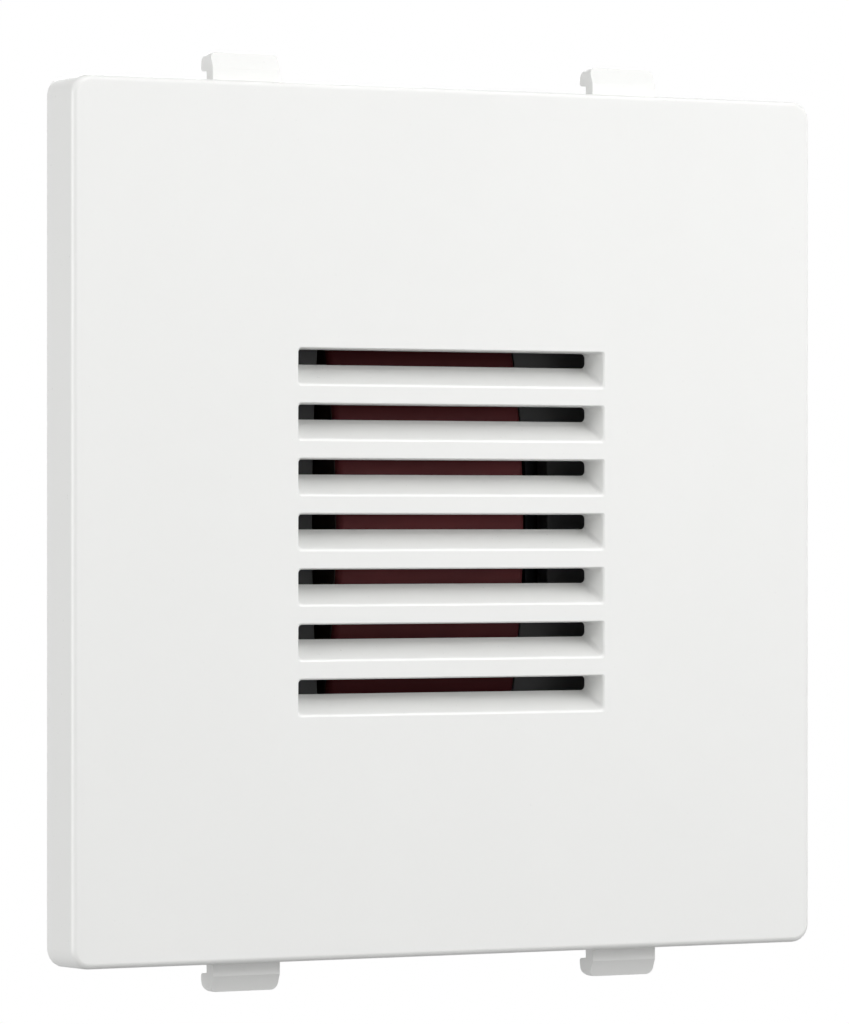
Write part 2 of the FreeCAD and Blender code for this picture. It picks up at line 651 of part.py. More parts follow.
def core_laminations():
    """Stacked iron plates, with a tenon at the yoke and a slot at the pole."""
    half_core = CORE_HEIGHT / 2
    half_tenon = TENON_HEIGHT / 2
    slot = RING_SECTION / 2 + RING_CLEARANCE
    slot_x = POLE_X - RING_SECTION - 2 * RING_CLEARANCE
    tip_x = YOKE_OUTER_X - TENON_STAKE
    outline = [
        (tip_x, -half_tenon), (YOKE_INNER_X, -half_tenon), (YOKE_INNER_X, -half_core),
        (POLE_X, -half_core), (POLE_X, -slot), (slot_x, -slot), (slot_x, slot), (POLE_X, slot),
        (POLE_X, half_core), (YOKE_INNER_X, half_core), (YOKE_INNER_X, half_tenon),
        (tip_x, half_tenon),
    ]
    plates = []
    for index in range(LAMINATION_COUNT):
        y = COIL_Y - CORE_DEPTH / 2 + index * LAMINATION_THICKNESS
        plates.append(prism([V(x, y, z) for x, z in outline], V(0, LAMINATION_THICKNESS, 0)))
    return Part.makeCompound(plates)


def shading_ring():
    """Copper ring round the upper half of the pole, set in the pole's slot."""
    x1 = POLE_X - RING_CLEARANCE
    x0 = x1 - RING_SECTION
    inner_y = CORE_DEPTH / 2 + RING_CLEARANCE
    inner_top = CORE_HEIGHT / 2 + RING_CLEARANCE
    inner_base = RING_SECTION / 2
    outer = block(x0, x1, COIL_Y - inner_y - RING_SECTION, COIL_Y + inner_y + RING_SECTION,
                  inner_base - RING_SECTION, inner_top + RING_SECTION)
    window = block(x0, x1, COIL_Y - inner_y, COIL_Y + inner_y, inner_base, inner_top)
    return outer.cut(window)


def yoke():
    """Bent iron yoke: a short side, a long side behind the coil and two lugs."""
    half = YOKE_HEIGHT / 2
    notch_x = HINGE_X - BARREL_RADIUS - RUNNING_GAP
    lug_x = HINGE_X + YOKE_THICKNESS / 2
    front = CASE_FRONT_Y + YOKE_PLATE_GAP
    outline = [
        V(YOKE_OUTER_X, front, -half), V(YOKE_INNER_X, front, -half),
        V(YOKE_INNER_X, YOKE_FRONT_Y, -half), V(lug_x, YOKE_FRONT_Y, -half),
        V(lug_x, YOKE_BACK_Y, -half), V(YOKE_OUTER_X, YOKE_BACK_Y, -half),
    ]
    solid = prism(outline, V(0, 0, YOKE_HEIGHT))

    def inner_bend(middle, edge):
        return abs(middle.x - YOKE_INNER_X) < 1e-4 and abs(middle.y - YOKE_FRONT_Y) < 1e-4

    def outer_bend(middle, edge):
        return abs(middle.x - YOKE_OUTER_X) < 1e-4 and abs(middle.y - YOKE_BACK_Y) < 1e-4

    def lug_nose(middle, edge):
        return abs(middle.x - lug_x) < 1e-4 and abs(middle.z) < 1e-4
    solid = solid.makeFillet(YOKE_BEND_RADIUS, edges_where(solid, inner_bend))
    solid = solid.makeFillet(YOKE_BEND_RADIUS + YOKE_THICKNESS, edges_where(solid, outer_bend))
    solid = solid.makeFillet(YOKE_THICKNESS * 0.45, edges_where(solid, lug_nose))
    cutters = [block(notch_x, lug_x, YOKE_FRONT_Y, YOKE_BACK_Y,
                     -half + LUG_WIDTH, half - LUG_WIDTH)]
    cutters.append(block(YOKE_OUTER_X, YOKE_INNER_X, COIL_Y - CORE_DEPTH / 2,
                         COIL_Y + CORE_DEPTH / 2, -TENON_HEIGHT / 2, TENON_HEIGHT / 2))
    cutters.append(rod(HINGE_PIN_RADIUS + PIN_SEAT_CLEARANCE,
                       V(HINGE_X, HINGE_Y, -half), V(HINGE_X, HINGE_Y, half)))
    for x in yoke_screw_places():
        cutters.append(rod(YOKE_SCREW_RADIUS, V(x, YOKE_FRONT_Y, 0), V(x, YOKE_BACK_Y, 0)))
    return solid.cut(cutters)


def yoke_screws():
    """Two screws from behind the case into the yoke."""
    screws = []
    for x in yoke_screw_places():
        tip = V(x, YOKE_FRONT_Y, 0)
        seat = V(x, YOKE_SCREW_SEAT_Y, 0)
        back = V(x, YOKE_SCREW_SEAT_Y + YOKE_SCREW_HEAD_HEIGHT, 0)
        head = rod(YOKE_SCREW_HEAD_RADIUS, seat, back)
        shank = rod(YOKE_SCREW_RADIUS, tip, seat)
        screws.append(head.fuse(shank))
    return Part.makeCompound(screws)


def rivet_places():
    """Y of the two spring rivets."""
    first = HINGE_Y - SPRING_FRONT_REACH + RIVET_HEAD_RADIUS
    return [first, first + RIVET_PITCH]


def armature():
    """Iron armature: a flat plate rolled into a hinge barrel at the back."""
    half = ARMATURE_HEIGHT / 2
    plate = block(ARMATURE_X, ARMATURE_BACK_X, ARMATURE_FRONT_Y, HINGE_Y, -half, half)
    base = V(HINGE_X, HINGE_Y, -half)
    top = V(HINGE_X, HINGE_Y, half)
    barrel = rod(BARREL_RADIUS, base, top)
    bore = rod(HINGE_PIN_RADIUS + HINGE_CLEARANCE, base, top)
    holes = [rod(RIVET_RADIUS, V(ARMATURE_X, y, 0), V(ARMATURE_BACK_X, y, 0))
             for y in rivet_places()]
    solid = plate.fuse(barrel).cut([bore] + holes)

    def front_corner(middle, edge):
        return (abs(middle.y - ARMATURE_FRONT_Y) < 1e-4 and abs(abs(middle.z) - half) < 1e-4)
    return solid.makeFillet(ARMATURE_THICKNESS / 2, edges_where(solid, front_corner))


def armature_pin():
    """Hinge pin through the lugs of the yoke."""
    half = YOKE_HEIGHT / 2
    return rod(HINGE_PIN_RADIUS, V(HINGE_X, HINGE_Y, -half), V(HINGE_X, HINGE_Y, half))


def armature_spring():
    """Flat return spring riveted to the armature, with a tail behind the hinge."""
    half = SPRING_WIDTH / 2
    outer = ARMATURE_BACK_X + SPRING_THICKNESS
    front = HINGE_Y - SPRING_FRONT_REACH
    back = HINGE_Y + SPRING_TAIL
    strip = block(ARMATURE_BACK_X, outer, front, back, -half, half)

    def end_corner(middle, edge):
        at_end = min(abs(middle.y - front), abs(middle.y - back)) < 1e-4
        return abs(abs(middle.z) - half) < 1e-4 and at_end
    strip = strip.makeFillet(half / 2, edges_where(strip, end_corner))
    holes = [rod(RIVET_RADIUS, V(ARMATURE_BACK_X, y, 0), V(outer, y, 0)) for y in rivet_places()]
    return strip.cut(holes)


def spring_rivets():
    """Two rivets that hold the spring on the armature."""
    rivets = []
    outer = ARMATURE_BACK_X + SPRING_THICKNESS
    for y in rivet_places():
        shank = rod(RIVET_RADIUS, V(ARMATURE_X, y, 0), V(outer, y, 0))
        head = rod(RIVET_HEAD_RADIUS, V(outer, y, 0), V(outer + RIVET_HEAD_HEIGHT, y, 0))
        rivets.append(shank.fuse(head))
    return Part.makeCompound(rivets)


def armature_pad():
    """Soft pad on the case's side, where the armature rests."""
    half = PAD_HEIGHT / 2
    front = ARMATURE_FRONT_Y
    return block(ARMATURE_BACK_X + RUNNING_GAP, CASE_INNER_X, front, front + PAD_LENGTH, -half, half)


def terminal_cage(x_mid):
    """Rising clamp: a nut block joined to a floor by two side walls."""
    x = CAGE_WIDTH / 2
    half = CAGE_HEIGHT / 2
    body = block(x_mid - x, x_mid + x, CAGE_FRONT_Y, CAGE_BACK_Y,
                 TERMINAL_Z - half, TERMINAL_Z + half)

    def long_edge(middle, edge):
        return abs(middle.z - TERMINAL_Z) < 1e-4
    body = body.makeFillet(CAGE_WALL / 2, edges_where(body, long_edge))
    window = block(x_mid - x + CAGE_WALL, x_mid + x - CAGE_WALL, WINDOW_Y, NUT_Y,
                   TERMINAL_Z - half, TERMINAL_Z + half)
    bore = rod(SCREW_RADIUS + THREAD_CLEARANCE,
               V(x_mid, NUT_Y, TERMINAL_Z), V(x_mid, CAGE_BACK_Y, TERMINAL_Z))
    return body.cut([window, bore])


def terminal_screw(x_mid):
    """Clamping screw with a slotted head, reached from behind."""
    tip = V(x_mid, SCREW_TIP_Y, TERMINAL_Z)
    seat = V(x_mid, SCREW_HEAD_Y, TERMINAL_Z)
    back = V(x_mid, SCREW_HEAD_Y + SCREW_HEAD_HEIGHT, TERMINAL_Z)
    head = rod(SCREW_HEAD_RADIUS, seat, back)
    groove = block(x_mid - SCREW_HEAD_RADIUS, x_mid + SCREW_HEAD_RADIUS,
                   back.y - SCREW_SLOT_DEPTH, back.y,
                   TERMINAL_Z - SCREW_SLOT_WIDTH / 2, TERMINAL_Z + SCREW_SLOT_WIDTH / 2)
    return head.fuse(rod(SCREW_RADIUS, tip, seat)).cut(groove)


def contact_bar(x_mid):
    """Bent brass bar: a tongue through the clamp and a foot on the shelf."""
    x = x_mid - BAR_WIDTH / 2
    foot_top = SHELF_TOP_Z + BAR_THICKNESS
    base = CASE_INNER_BASE + BAR_BASE_GAP
    end = BAR_Y + BAR_FOOT_LENGTH
    outline = [
        V(x, BAR_Y, base), V(x, BAR_Y, foot_top), V(x, end, foot_top),
        V(x, end, SHELF_TOP_Z), V(x, BAR_BACK_Y, SHELF_TOP_Z), V(x, BAR_BACK_Y, base),
    ]
    solid = prism(outline, V(BAR_WIDTH, 0, 0))

    def outer_bend(middle, edge):
        return abs(middle.y - BAR_Y) < 1e-4 and abs(middle.z - foot_top) < 1e-4
    return solid.makeFillet(BAR_THICKNESS * 0.75, edges_where(solid, outer_bend))


def coil_lead(x_mid):
    """Flat tinned lead: out of the wrap, round one bend and down on the contact bar."""
    start_y = COIL_Y + coil_side_depth(LEAD_HEIGHT - LEAD_THICKNESS, 0.0) + WRAP_CLEARANCE
    turn_y = start_y + LEAD_STANDOFF
    end_z = SHELF_TOP_Z + BAR_THICKNESS
    x = x_mid - LEAD_WIDTH / 2
    thick = LEAD_THICKNESS
    outline = [
        V(x, start_y, -LEAD_HEIGHT), V(x, turn_y, -LEAD_HEIGHT), V(x, turn_y, end_z),
        V(x, turn_y - thick, end_z), V(x, turn_y - thick, -LEAD_HEIGHT - thick),
        V(x, start_y, -LEAD_HEIGHT - thick),
    ]
    solid = prism(outline, V(LEAD_WIDTH, 0, 0))

    def outer_bend(middle, edge):
        return abs(middle.y - turn_y) < 1e-4 and abs(middle.z + LEAD_HEIGHT) < 1e-4
    return solid.makeFillet(LEAD_BEND_RADIUS, edges_where(solid, outer_bend))


def parts():
    """Every node of the buzzer with its shape."""
    nodes = {
        "front_cover": front_cover(),
        "mechanism_plate": mechanism_plate(),
        "plate_screws": plate_screws(),
        "mechanism_case": mechanism_case(),
        "coil_wrap": coil_wrap(),
        "coil_bobbin": coil_bobbin(),
        "coil_winding": coil_winding(),
        "core_laminations": core_laminations(),
        "shading_ring": shading_ring(),
        "yoke": yoke(),
        "yoke_screws": yoke_screws(),
        "armature": armature(),
        "armature_pin": armature_pin(),
        "armature_spring": armature_spring(),
        "spring_rivets": spring_rivets(),
        "armature_pad": armature_pad(),
    }
    for side, x_mid in terminal_places().items():
        nodes["terminal_cage_" + side] = terminal_cage(x_mid)
        nodes["terminal_screw_" + side] = terminal_screw(x_mid)
        nodes["contact_bar_" + side] = contact_bar(x_mid)
        nodes["coil_lead_" + side] = coil_lead(x_mid)
    return nodes


def main():
    """Write one STEP file per node."""
    os.makedirs("parts", exist_ok=True)
    for name, shape in parts().items():
        shape.exportStep("parts/" + name + ".step")
        print(name, "solids", len(shape.Solids), "valid", shape.isValid(),
              "volume", round(shape.Volume, 2))


if __name__ == "__main__":
    main()
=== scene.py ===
"""Looks of the modular door buzzer, built round its packed construction.

The construction gives every piece its place and size. This script dresses the
pieces, models the ones that need finer forms than the construction holds, and
sets up the studio. Metres; +Z is up and the front face looks towards -Y.
"""
import functools
import logging
import math
from collections.abc import Callable
from dataclasses import dataclass, replace
from enum import Enum
from typing import Self

import bmesh
import bpy
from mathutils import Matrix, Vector


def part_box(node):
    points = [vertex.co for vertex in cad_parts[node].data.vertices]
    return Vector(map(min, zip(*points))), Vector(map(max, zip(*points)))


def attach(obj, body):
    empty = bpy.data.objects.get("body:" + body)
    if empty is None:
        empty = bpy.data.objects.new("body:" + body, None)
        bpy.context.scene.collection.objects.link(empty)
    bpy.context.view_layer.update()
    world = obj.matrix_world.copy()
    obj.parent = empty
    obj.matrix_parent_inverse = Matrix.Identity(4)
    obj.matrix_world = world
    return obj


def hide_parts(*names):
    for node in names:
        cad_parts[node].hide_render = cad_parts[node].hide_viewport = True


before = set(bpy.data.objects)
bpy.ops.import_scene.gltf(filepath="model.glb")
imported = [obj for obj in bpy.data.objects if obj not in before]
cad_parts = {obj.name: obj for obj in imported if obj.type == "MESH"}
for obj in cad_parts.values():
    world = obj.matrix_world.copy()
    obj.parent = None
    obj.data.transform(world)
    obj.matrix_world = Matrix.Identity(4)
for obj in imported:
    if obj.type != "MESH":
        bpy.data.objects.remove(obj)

LOG = logging.getLogger("buzzer")
MM = 0.001
EASING = 0.06 * MM
WELD = 0.001 * MM
EASED_ANGLE = math.radians(40)

Colour = tuple[float, float, float]
Point = tuple[float, float, float]
Socket = bpy.types.NodeSocket


class Side(Enum):
    """The two halves of a paired piece, with the sign of X on that side."""

    LEFT = -1
    RIGHT = 1

    @property
    def word(self) -> str:
        """The side's name, as the paired nodes spell it."""
        return self.name.lower()


class NodeGraph:
    """Node tree of a material or of the world, built from the pattern to the output."""

    def __init__(self, owner: bpy.types.Material | bpy.types.World) -> None:
        """Start an empty tree.

        Args:
            owner: The material or the world.
        """
        self.owner = owner
        owner.use_nodes = True
        self.tree = owner.node_tree
        self.tree.nodes.clear()

    def add(self, kind: str, **values: object) -> bpy.types.Node:
        """Add a node and set its inputs.

        Args:
            kind: Blender's name of the node type.
            values: Values of inputs, with an underscore for each space.

        Returns:
            The new node.
        """
        node = self.tree.nodes.new(kind)
        for key, value in values.items():
            node.inputs[key.replace("_", " ")].default_value = value
        return node

    def link(self, source: Socket, node: bpy.types.Node, target: str | int) -> None:
        """Join an output to an input, given by its name or its number."""
        self.tree.links.new(source, node.inputs[target])

    def noise(self, size: float, detail: float = 2.0, stretch: Point = (1, 1, 1)) -> Socket:
        """Soft random pattern.

        Args:
            size: Size of one blotch in metres.
            detail: Octaves of finer pattern.
            stretch: Scale along each axis; a small number draws the pattern out.

        Returns:
            The pattern, from 0 to 1.
        """
        place = self.add("ShaderNodeTexCoord")
        mapping = self.add("ShaderNodeMapping", Scale=stretch)
        self.link(place.outputs["Object"], mapping, "Vector")
        node = self.add("ShaderNodeTexNoise", Scale=1 / size, Detail=detail)
        self.link(mapping.outputs["Vector"], node, "Vector")
        return node.outputs["Fac"]

    def ramp(self, source: Socket, low: Colour, high: Colour,
             ends: tuple[float, float] = (0.3, 0.7)) -> Socket:
        """Colour that drifts from one tone to another with a pattern.

        Args:
            source: The pattern.
            low: Tone where the pattern is low.
            high: Tone where the pattern is high.
            ends: Pattern values where the drift starts and where it is over.

        Returns:
            The colour.
        """
        node = self.add("ShaderNodeValToRGB")
        self.link(source, node, "Fac")
        for element, position, colour in zip(node.color_ramp.elements, ends, (low, high)):
            element.position = position
            element.color = (*colour, 1)
        return node.outputs["Color"]

    def spread(self, source: Socket, low: float, high: float) -> Socket:
        """Pattern mapped to a range of values.

        Args:
            source: The pattern.
            low: Value where the pattern is 0.
            high: Value where the pattern is 1.

        Returns:
            The mapped pattern.
        """
        node = self.add("ShaderNodeMapRange", To_Min=low, To_Max=high)
        self.link(source, node, "Value")
        return node.outputs["Result"]

    def bump(self, source: Socket, depth: float, under: Socket | None = None) -> Socket:
        """Relief from a pattern.

        Args:
            source: Height of the relief.
            depth: Depth in metres.
            under: Coarser relief that this one lies on.

        Returns:
            The surface normal.
        """
        node = self.add("ShaderNodeBump", Distance=depth, Strength=1.0)
        self.link(source, node, "Height")
        if under is not None:
            self.link(under, node, "Normal")
        return node.outputs["Normal"]

    def surface(self, colour: Socket, roughness: Socket, normal: Socket,
                **values: object) -> bpy.types.Material:
        """Close the tree with its surface shader.

        Args:
            colour: Base colour.
            roughness: Roughness.
            normal: Surface normal.
            values: Constant inputs of the shader.

        Returns:
            The finished material.
        """
        shader = self.add("ShaderNodeBsdfPrincipled", **values)
        self.link(colour, shader, "Base Color")
        self.link(roughness, shader, "Roughness")
        self.link(normal, shader, "Normal")
        self.link(shader.outputs["BSDF"], self.add("ShaderNodeOutputMaterial"), "Surface")
        return self.owner

    def seen(self) -> Socket:
        """Switch for what is only to be seen and gives no light.

        Returns:
            One where a ray comes from the camera, a gloss or a clear piece, else zero.
        """
        path = self.add("ShaderNodeLightPath")
        total = path.outputs["Is Camera Ray"]
        for name in ("Is Glossy Ray", "Is Transmission Ray"):
            node = self.add("ShaderNodeMath")
            node.operation = "MAXIMUM"
            self.link(total, node, 0)
            self.link(path.outputs[name], node, 1)
            total = node.outputs[0]
        return total


def shade(colour: Colour, factor: float) -> Colour:
    """The same colour, lighter or darker by a factor."""
    return tuple(min(1.0, channel * factor) for channel in colour)


@dataclass(frozen=True)
class Moulding:
    """Moulded plastic: faint flow marks and waves under a fine, even grain."""

    name: str
    slot: str
    colour: Colour
    roughness: float
    drift: float = 0.02
    unevenness: float = 0.06
    flow_size: float = 9 * MM
    wave_size: float = 4 * MM
    wave_depth: float = 0.004 * MM
    grain_size: float = 0.16 * MM
    grain_depth: float = 0.002 * MM
    specular: float = 0.5

    @functools.cache
    def material(self) -> bpy.types.Material:
        """Build the material.

        Returns:
            The material, made once and shared by all pieces of this plastic.
        """
        graph = NodeGraph(bpy.data.materials.new(self.name))
        flow = graph.noise(self.flow_size, detail=3, stretch=(1, 1, 0.5))
        grain = graph.noise(self.grain_size, detail=4)
        colour = graph.ramp(flow, shade(self.colour, 1 - self.drift), shade(self.colour, 1 + self.drift))
        roughness = graph.spread(grain, self.roughness - self.unevenness, self.roughness + self.unevenness)
        waves = graph.bump(graph.noise(self.wave_size), self.wave_depth)
        normal = graph.bump(grain, self.grain_depth, waves)
        return graph.surface(colour, roughness, normal, Specular_IOR_Level=self.specular, IOR=1.5)


@dataclass(frozen=True)
class RolledMetal:
    """Rolled or plated metal: draw lines, a cloudy plating and dull patches."""

    name: str
    slot: str
    colour: Colour
    tarnish: Colour
    roughness: float
    dulled: float = 0.14
    polished: float = 0.06
    cloud_size: float = 1.6 * MM
    draw_lines: Point = (1, 1, 0.06)
    line_size: float = 0.07 * MM
    line_depth: float = 0.0015 * MM

    @functools.cache
    def material(self) -> bpy.types.Material:
        """Build the material.

        Returns:
            The material, made once and shared by all pieces of this metal.
        """
        graph = NodeGraph(bpy.data.materials.new(self.name))
        cloud = graph.noise(self.cloud_size, detail=5)
        lines = graph.noise(self.line_size, detail=3, stretch=self.draw_lines)
        colour = graph.ramp(cloud, self.tarnish, self.colour, (0.25, 0.6))
        roughness = graph.spread(cloud, self.roughness + self.dulled, self.roughness - self.polished)
        normal = graph.bump(lines, self.line_depth)
        return graph.surface(colour, roughness, normal, Metallic=1.0)


@dataclass(frozen=True)
class Tape:
    """Insulating tape wound round the coil: fine weave and soft creases, with painted shade darkening the
    crease valleys.
    """

    name: str
    slot: str
    colour: Colour
    dark: Colour
    roughness: float
    polished: float = 0.08
    fuzzed: float = 0.1
    thread_size: float = 0.22 * MM
    thread_depth: float = 0.006 * MM
    crease_size: float = 2.5 * MM
    crease_depth: float = 0.03 * MM
    specular: float = 0.12

    @functools.cache
    def material(self) -> bpy.types.Material:
        """Build the material.

        Returns:
            The material of the tape.
        """
        graph = NodeGraph(bpy.data.materials.new(self.name))
        weave = graph.noise(self.thread_size, detail=1, stretch=(0.25, 1, 1))
        crease = graph.noise(self.crease_size, detail=3, stretch=(0.3, 1, 1))
        # Painted shade: the colour darkens where the crease relief is low.
        colour = graph.ramp(crease, self.dark, self.colour, (0.25, 0.7))
        roughness = graph.spread(weave, self.roughness - self.polished, self.roughness + self.fuzzed)
        normal = graph.bump(weave, self.thread_depth, graph.bump(crease, self.crease_depth))
        return graph.surface(colour, roughness, normal, Specular_IOR_Level=self.specular, IOR=1.5)


COVER_WHITE = Moulding("cover_white", "cover_white", (0.80, 0.803, 0.79), 0.3, drift=0.006)
CASE_GREY = Moulding("case_grey", "case_grey", (0.066, 0.067, 0.068), 0.6, drift=0.08,
                     grain_depth=0.006 * MM, specular=0.35)
BOBBIN_BLACK = Moulding("bobbin_black", "bobbin_black", (0.03, 0.018, 0.014), 0.5, drift=0.1, specular=0.3)
PAD_RUBBER = Moulding("pad_rubber", "pad_rubber", (0.03, 0.03, 0.03), 0.85, drift=0.15,
                      grain_depth=0.01 * MM)
# The tape's darker tone is painted shade in the crease valleys.
WRAP_RED = Tape("wrap_red", "wrap_red", (0.095, 0.0155, 0.0175), (0.065, 0.010, 0.0113), 0.55)
COPPER = RolledMetal("enamelled_copper", "copper", (0.80, 0.36, 0.19), (0.55, 0.2, 0.1), 0.3)
CORE_IRON = RolledMetal("core_iron", "core_iron", (0.33, 0.33, 0.34), (0.16, 0.16, 0.175), 0.45)
ZINC_STEEL = RolledMetal("zinc_steel", "zinc_steel", (0.62, 0.63, 0.65), (0.45, 0.46, 0.49), 0.33)
# Zinc steel drawn almost black: painted shade on the armature, which lies in the shade inside the housing.
ZINC_PAINTED_SHADE = RolledMetal("zinc_painted_shade", "zinc_steel", (0.05, 0.05, 0.055), (0.028, 0.028, 0.031), 0.5)
SPRING_STEEL = RolledMetal("spring_steel", "spring_steel", (0.52, 0.53, 0.56), (0.38, 0.38, 0.42), 0.24)
TERMINAL_BRASS = RolledMetal("terminal_brass", "terminal_brass", (0.76, 0.58, 0.28),
                             (0.55, 0.38, 0.16), 0.3)
TINNED_COPPER = RolledMetal("tinned_copper", "tinned_copper", (0.7, 0.7, 0.7), (0.5, 0.5, 0.5), 0.36)

Finish = Moulding | RolledMetal | Tape


def dress(node: str, finish: Finish) -> None:
    """Give a carried-over node its finish and ease its sharp edges.

    Args:
        node: Name of the node.
        finish: Its finish.
    """
    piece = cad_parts[node]
    piece.data.materials.clear()
    piece.data.materials.append(finish.material())
    weld = piece.modifiers.new("weld", "WELD")
    weld.merge_threshold = WELD
    easing = piece.modifiers.new("easing", "BEVEL")
    easing.width = EASING
    easing.segments = 2
    easing.limit_method = "ANGLE"
    easing.angle_limit = EASED_ANGLE
    piece.modifiers.new("even", "WEIGHTED_NORMAL").keep_sharp = True
    LOG.info("dressed %s in %s", node, finish.name)


TINY = 1e-4
SPARE = 1.0
OVERLAP = 0.1
SHARP = math.radians(30)
FACING = 0.9

Places = Callable[[Vector], bool]


def along(low: Vector, high: Vector, axis: int) -> bool:
    """Whether a line between two points runs along an axis, 0 to 2."""
    return all(abs(low[i] - high[i]) < TINY for i in range(3) if i != axis)


def near(value: float, wanted: float) -> bool:
    """Whether two lengths are the same to the bench's precision."""
    return abs(value - wanted) < TINY


class Workpiece:
    """One mesh on the bench, started from a primitive and shaped in edit mode.

    The bench works in millimetres of the row frame, and a finished piece is put in metres. A tool
    stands out of what it cuts by SPARE, and joined pieces reach into each other by OVERLAP. A
    face faces along an axis where that part of its normal is over FACING.
    """

    def __init__(self) -> None:
        """Take the primitive that was just added, with its size and place in its mesh."""
        self.object = bpy.context.object
        bpy.ops.object.transform_apply(location=True, rotation=True, scale=True)

    @classmethod
    def block(cls, low: Point, high: Point) -> Self:
        """Start from a rectangular blank.

        Args:
            low: Lowest corner.
            high: Highest corner.

        Returns:
            The blank.
        """
        bpy.ops.object.select_all(action="DESELECT")
        middle = [(a + b) / 2 for a, b in zip(low, high)]
        size = [b - a for a, b in zip(low, high)]
        bpy.ops.mesh.primitive_cube_add(size=1, location=middle, scale=size)
        return cls()

    @classmethod
    def rod(cls, radius: float, start: Point, end: Point, sides: int = 48) -> Self:
        """Start from a round blank.

        Args:
            radius: Radius.
            start: Middle of one end.
            end: Middle of the other end.
            sides: Number of sides round it.

        Returns:
            The blank.
        """
        bpy.ops.object.select_all(action="DESELECT")
        axis = Vector(end) - Vector(start)
        middle = (Vector(end) + Vector(start)) / 2
        turn = axis.to_track_quat("Z", "Y").to_euler()
        bpy.ops.mesh.primitive_cylinder_add(vertices=sides, radius=radius, depth=axis.length,
                                            location=middle, rotation=turn)
        return cls()

    def activate(self) -> None:
        """Make this the one object that the tools act on."""
        bpy.ops.object.select_all(action="DESELECT")
        bpy.context.view_layer.objects.active = self.object
        self.object.select_set(True)

    def edit(self, tool: Callable[..., set[str]], **settings: object) -> Self:
        """Use one edit-mode tool on what is picked.

        Args:
            tool: Blender's operator.
            settings: Its settings.

        Returns:
            The workpiece.
        """
        self.activate()
        bpy.ops.object.mode_set(mode="EDIT")
        tool(**settings)
        bpy.ops.object.mode_set(mode="OBJECT")
        return self

    def pick(self, kind: str, chosen: Callable[[bmesh.types.BMVert], bool]) -> Self:
        """Pick vertices, edges or faces, and nothing else.

        Args:
            kind: The mesh's list to pick from: verts, edges or faces.
            chosen: Test that picked elements pass.

        Returns:
            The workpiece.
        """
        self.activate()
        bpy.ops.object.mode_set(mode="EDIT")
        mode = ("verts", "edges", "faces").index(kind)
        bpy.context.tool_settings.mesh_select_mode = tuple(i == mode for i in range(3))
        bpy.ops.mesh.select_all(action="DESELECT")
        mesh = bmesh.from_edit_mesh(self.object.data)
        for element in getattr(mesh, kind):
            if chosen(element):
                element.select_set(True)
        bmesh.update_edit_mesh(self.object.data)
        bpy.ops.object.mode_set(mode="OBJECT")
        return self

    def verts(self, chosen: Places) -> Self:
        """Pick the vertices whose place passes a test."""
        return self.pick("verts", lambda vertex: chosen(vertex.co))

    def edges(self, chosen: Callable[[Vector, Vector], bool]) -> Self:
        """Pick the sharp edges whose two ends pass a test."""
        return self.pick("edges", lambda edge: edge.calc_face_angle(math.pi) > SHARP
                         and chosen(*(vertex.co for vertex in edge.verts)))

    def rim(self, chosen: Places) -> Self:
        """Pick the sharp edges that have both ends where a test passes."""
        return self.edges(lambda a, b: chosen(a) and chosen(b))

    def faces(self, chosen: Callable[[Vector, Vector], bool]) -> Self:
        """Pick the faces whose middle and normal pass a test."""
        return self.pick("faces", lambda face: chosen(face.calc_center_median(), face.normal))

    def everything(self) -> Self:
        """Pick the whole piece."""
        return self.edit(bpy.ops.mesh.select_all, action="SELECT")

    def extrude(self, by: Point) -> Self:
        """Pull the picked faces out."""
        return self.edit(bpy.ops.mesh.extrude_region_move, TRANSFORM_OT_translate={"value": by})

    def inset(self, width: float) -> Self:
        """Draw a margin inside the picked faces and keep the inner part picked."""
        return self.edit(bpy.ops.mesh.inset, thickness=width)

    def bevel(self, width: float, steps: int = 1) -> Self:
        """Round the picked edges, or cut them at a slant in a single step."""
        return self.edit(bpy.ops.mesh.bevel, offset=width, segments=steps, affect="EDGES")

    def move(self, by: Point) -> Self:
        """Move what is picked."""
        return self.edit(bpy.ops.transform.translate, value=by)

    def shift(self, by: Point) -> Self:
        """Move the whole piece."""
        return self.everything().move(by)

    def resize(self, factors: Point, middle: Point) -> Self:
        """Stretch what is picked about a point."""
        return self.edit(bpy.ops.transform.resize, value=factors, center_override=middle)

    def slice(self, at: Point, facing: Point) -> Self:
        """Draw a line round the whole piece where a plane passes through it."""
        return self.everything().edit(bpy.ops.mesh.bisect, plane_co=at, plane_no=facing)

    def modify(self, kind: str, **settings: object) -> Self:
        """Add a modifier and apply it.

        Args:
            kind: Blender's name of the modifier type.
            settings: Its settings.

        Returns:
            The workpiece.
        """
        modifier = self.object.modifiers.new(kind.lower(), kind)
        for key, value in settings.items():
            setattr(modifier, key, value)
        self.activate()
        bpy.ops.object.modifier_apply(modifier=modifier.name)
        return self

    def combine(self, operation: str, *others: Self) -> Self:
        """Join, cut or trim with other workpieces, which are used up.

        Args:
            operation: UNION, DIFFERENCE or INTERSECT.
            others: The other workpieces.

        Returns:
            The workpiece.
        """
        for other in others:
            self.modify("BOOLEAN", operation=operation, solver="EXACT", object=other.object)
            bpy.data.objects.remove(other.object)
        return self

    def join(self, *others: Self) -> Self:
        """Melt other workpieces into this one."""
        return self.combine("UNION", *others)

    def cut(self, *others: Self) -> Self:
        """Take other workpieces out of this one."""
        return self.combine("DIFFERENCE", *others)

    def trim(self, other: Self) -> Self:
        """Keep only what lies inside another workpiece."""
        return self.combine("INTERSECT", other)

    def gather(self, *others: Self) -> Self:
        """Put other workpieces, which stay apart from it, in the same mesh.

        Args:
            others: The other workpieces, which are used up.

        Returns:
            The workpiece.
        """
        self.activate()
        for other in others:
            other.object.select_set(True)
        bpy.ops.object.join()
        return self

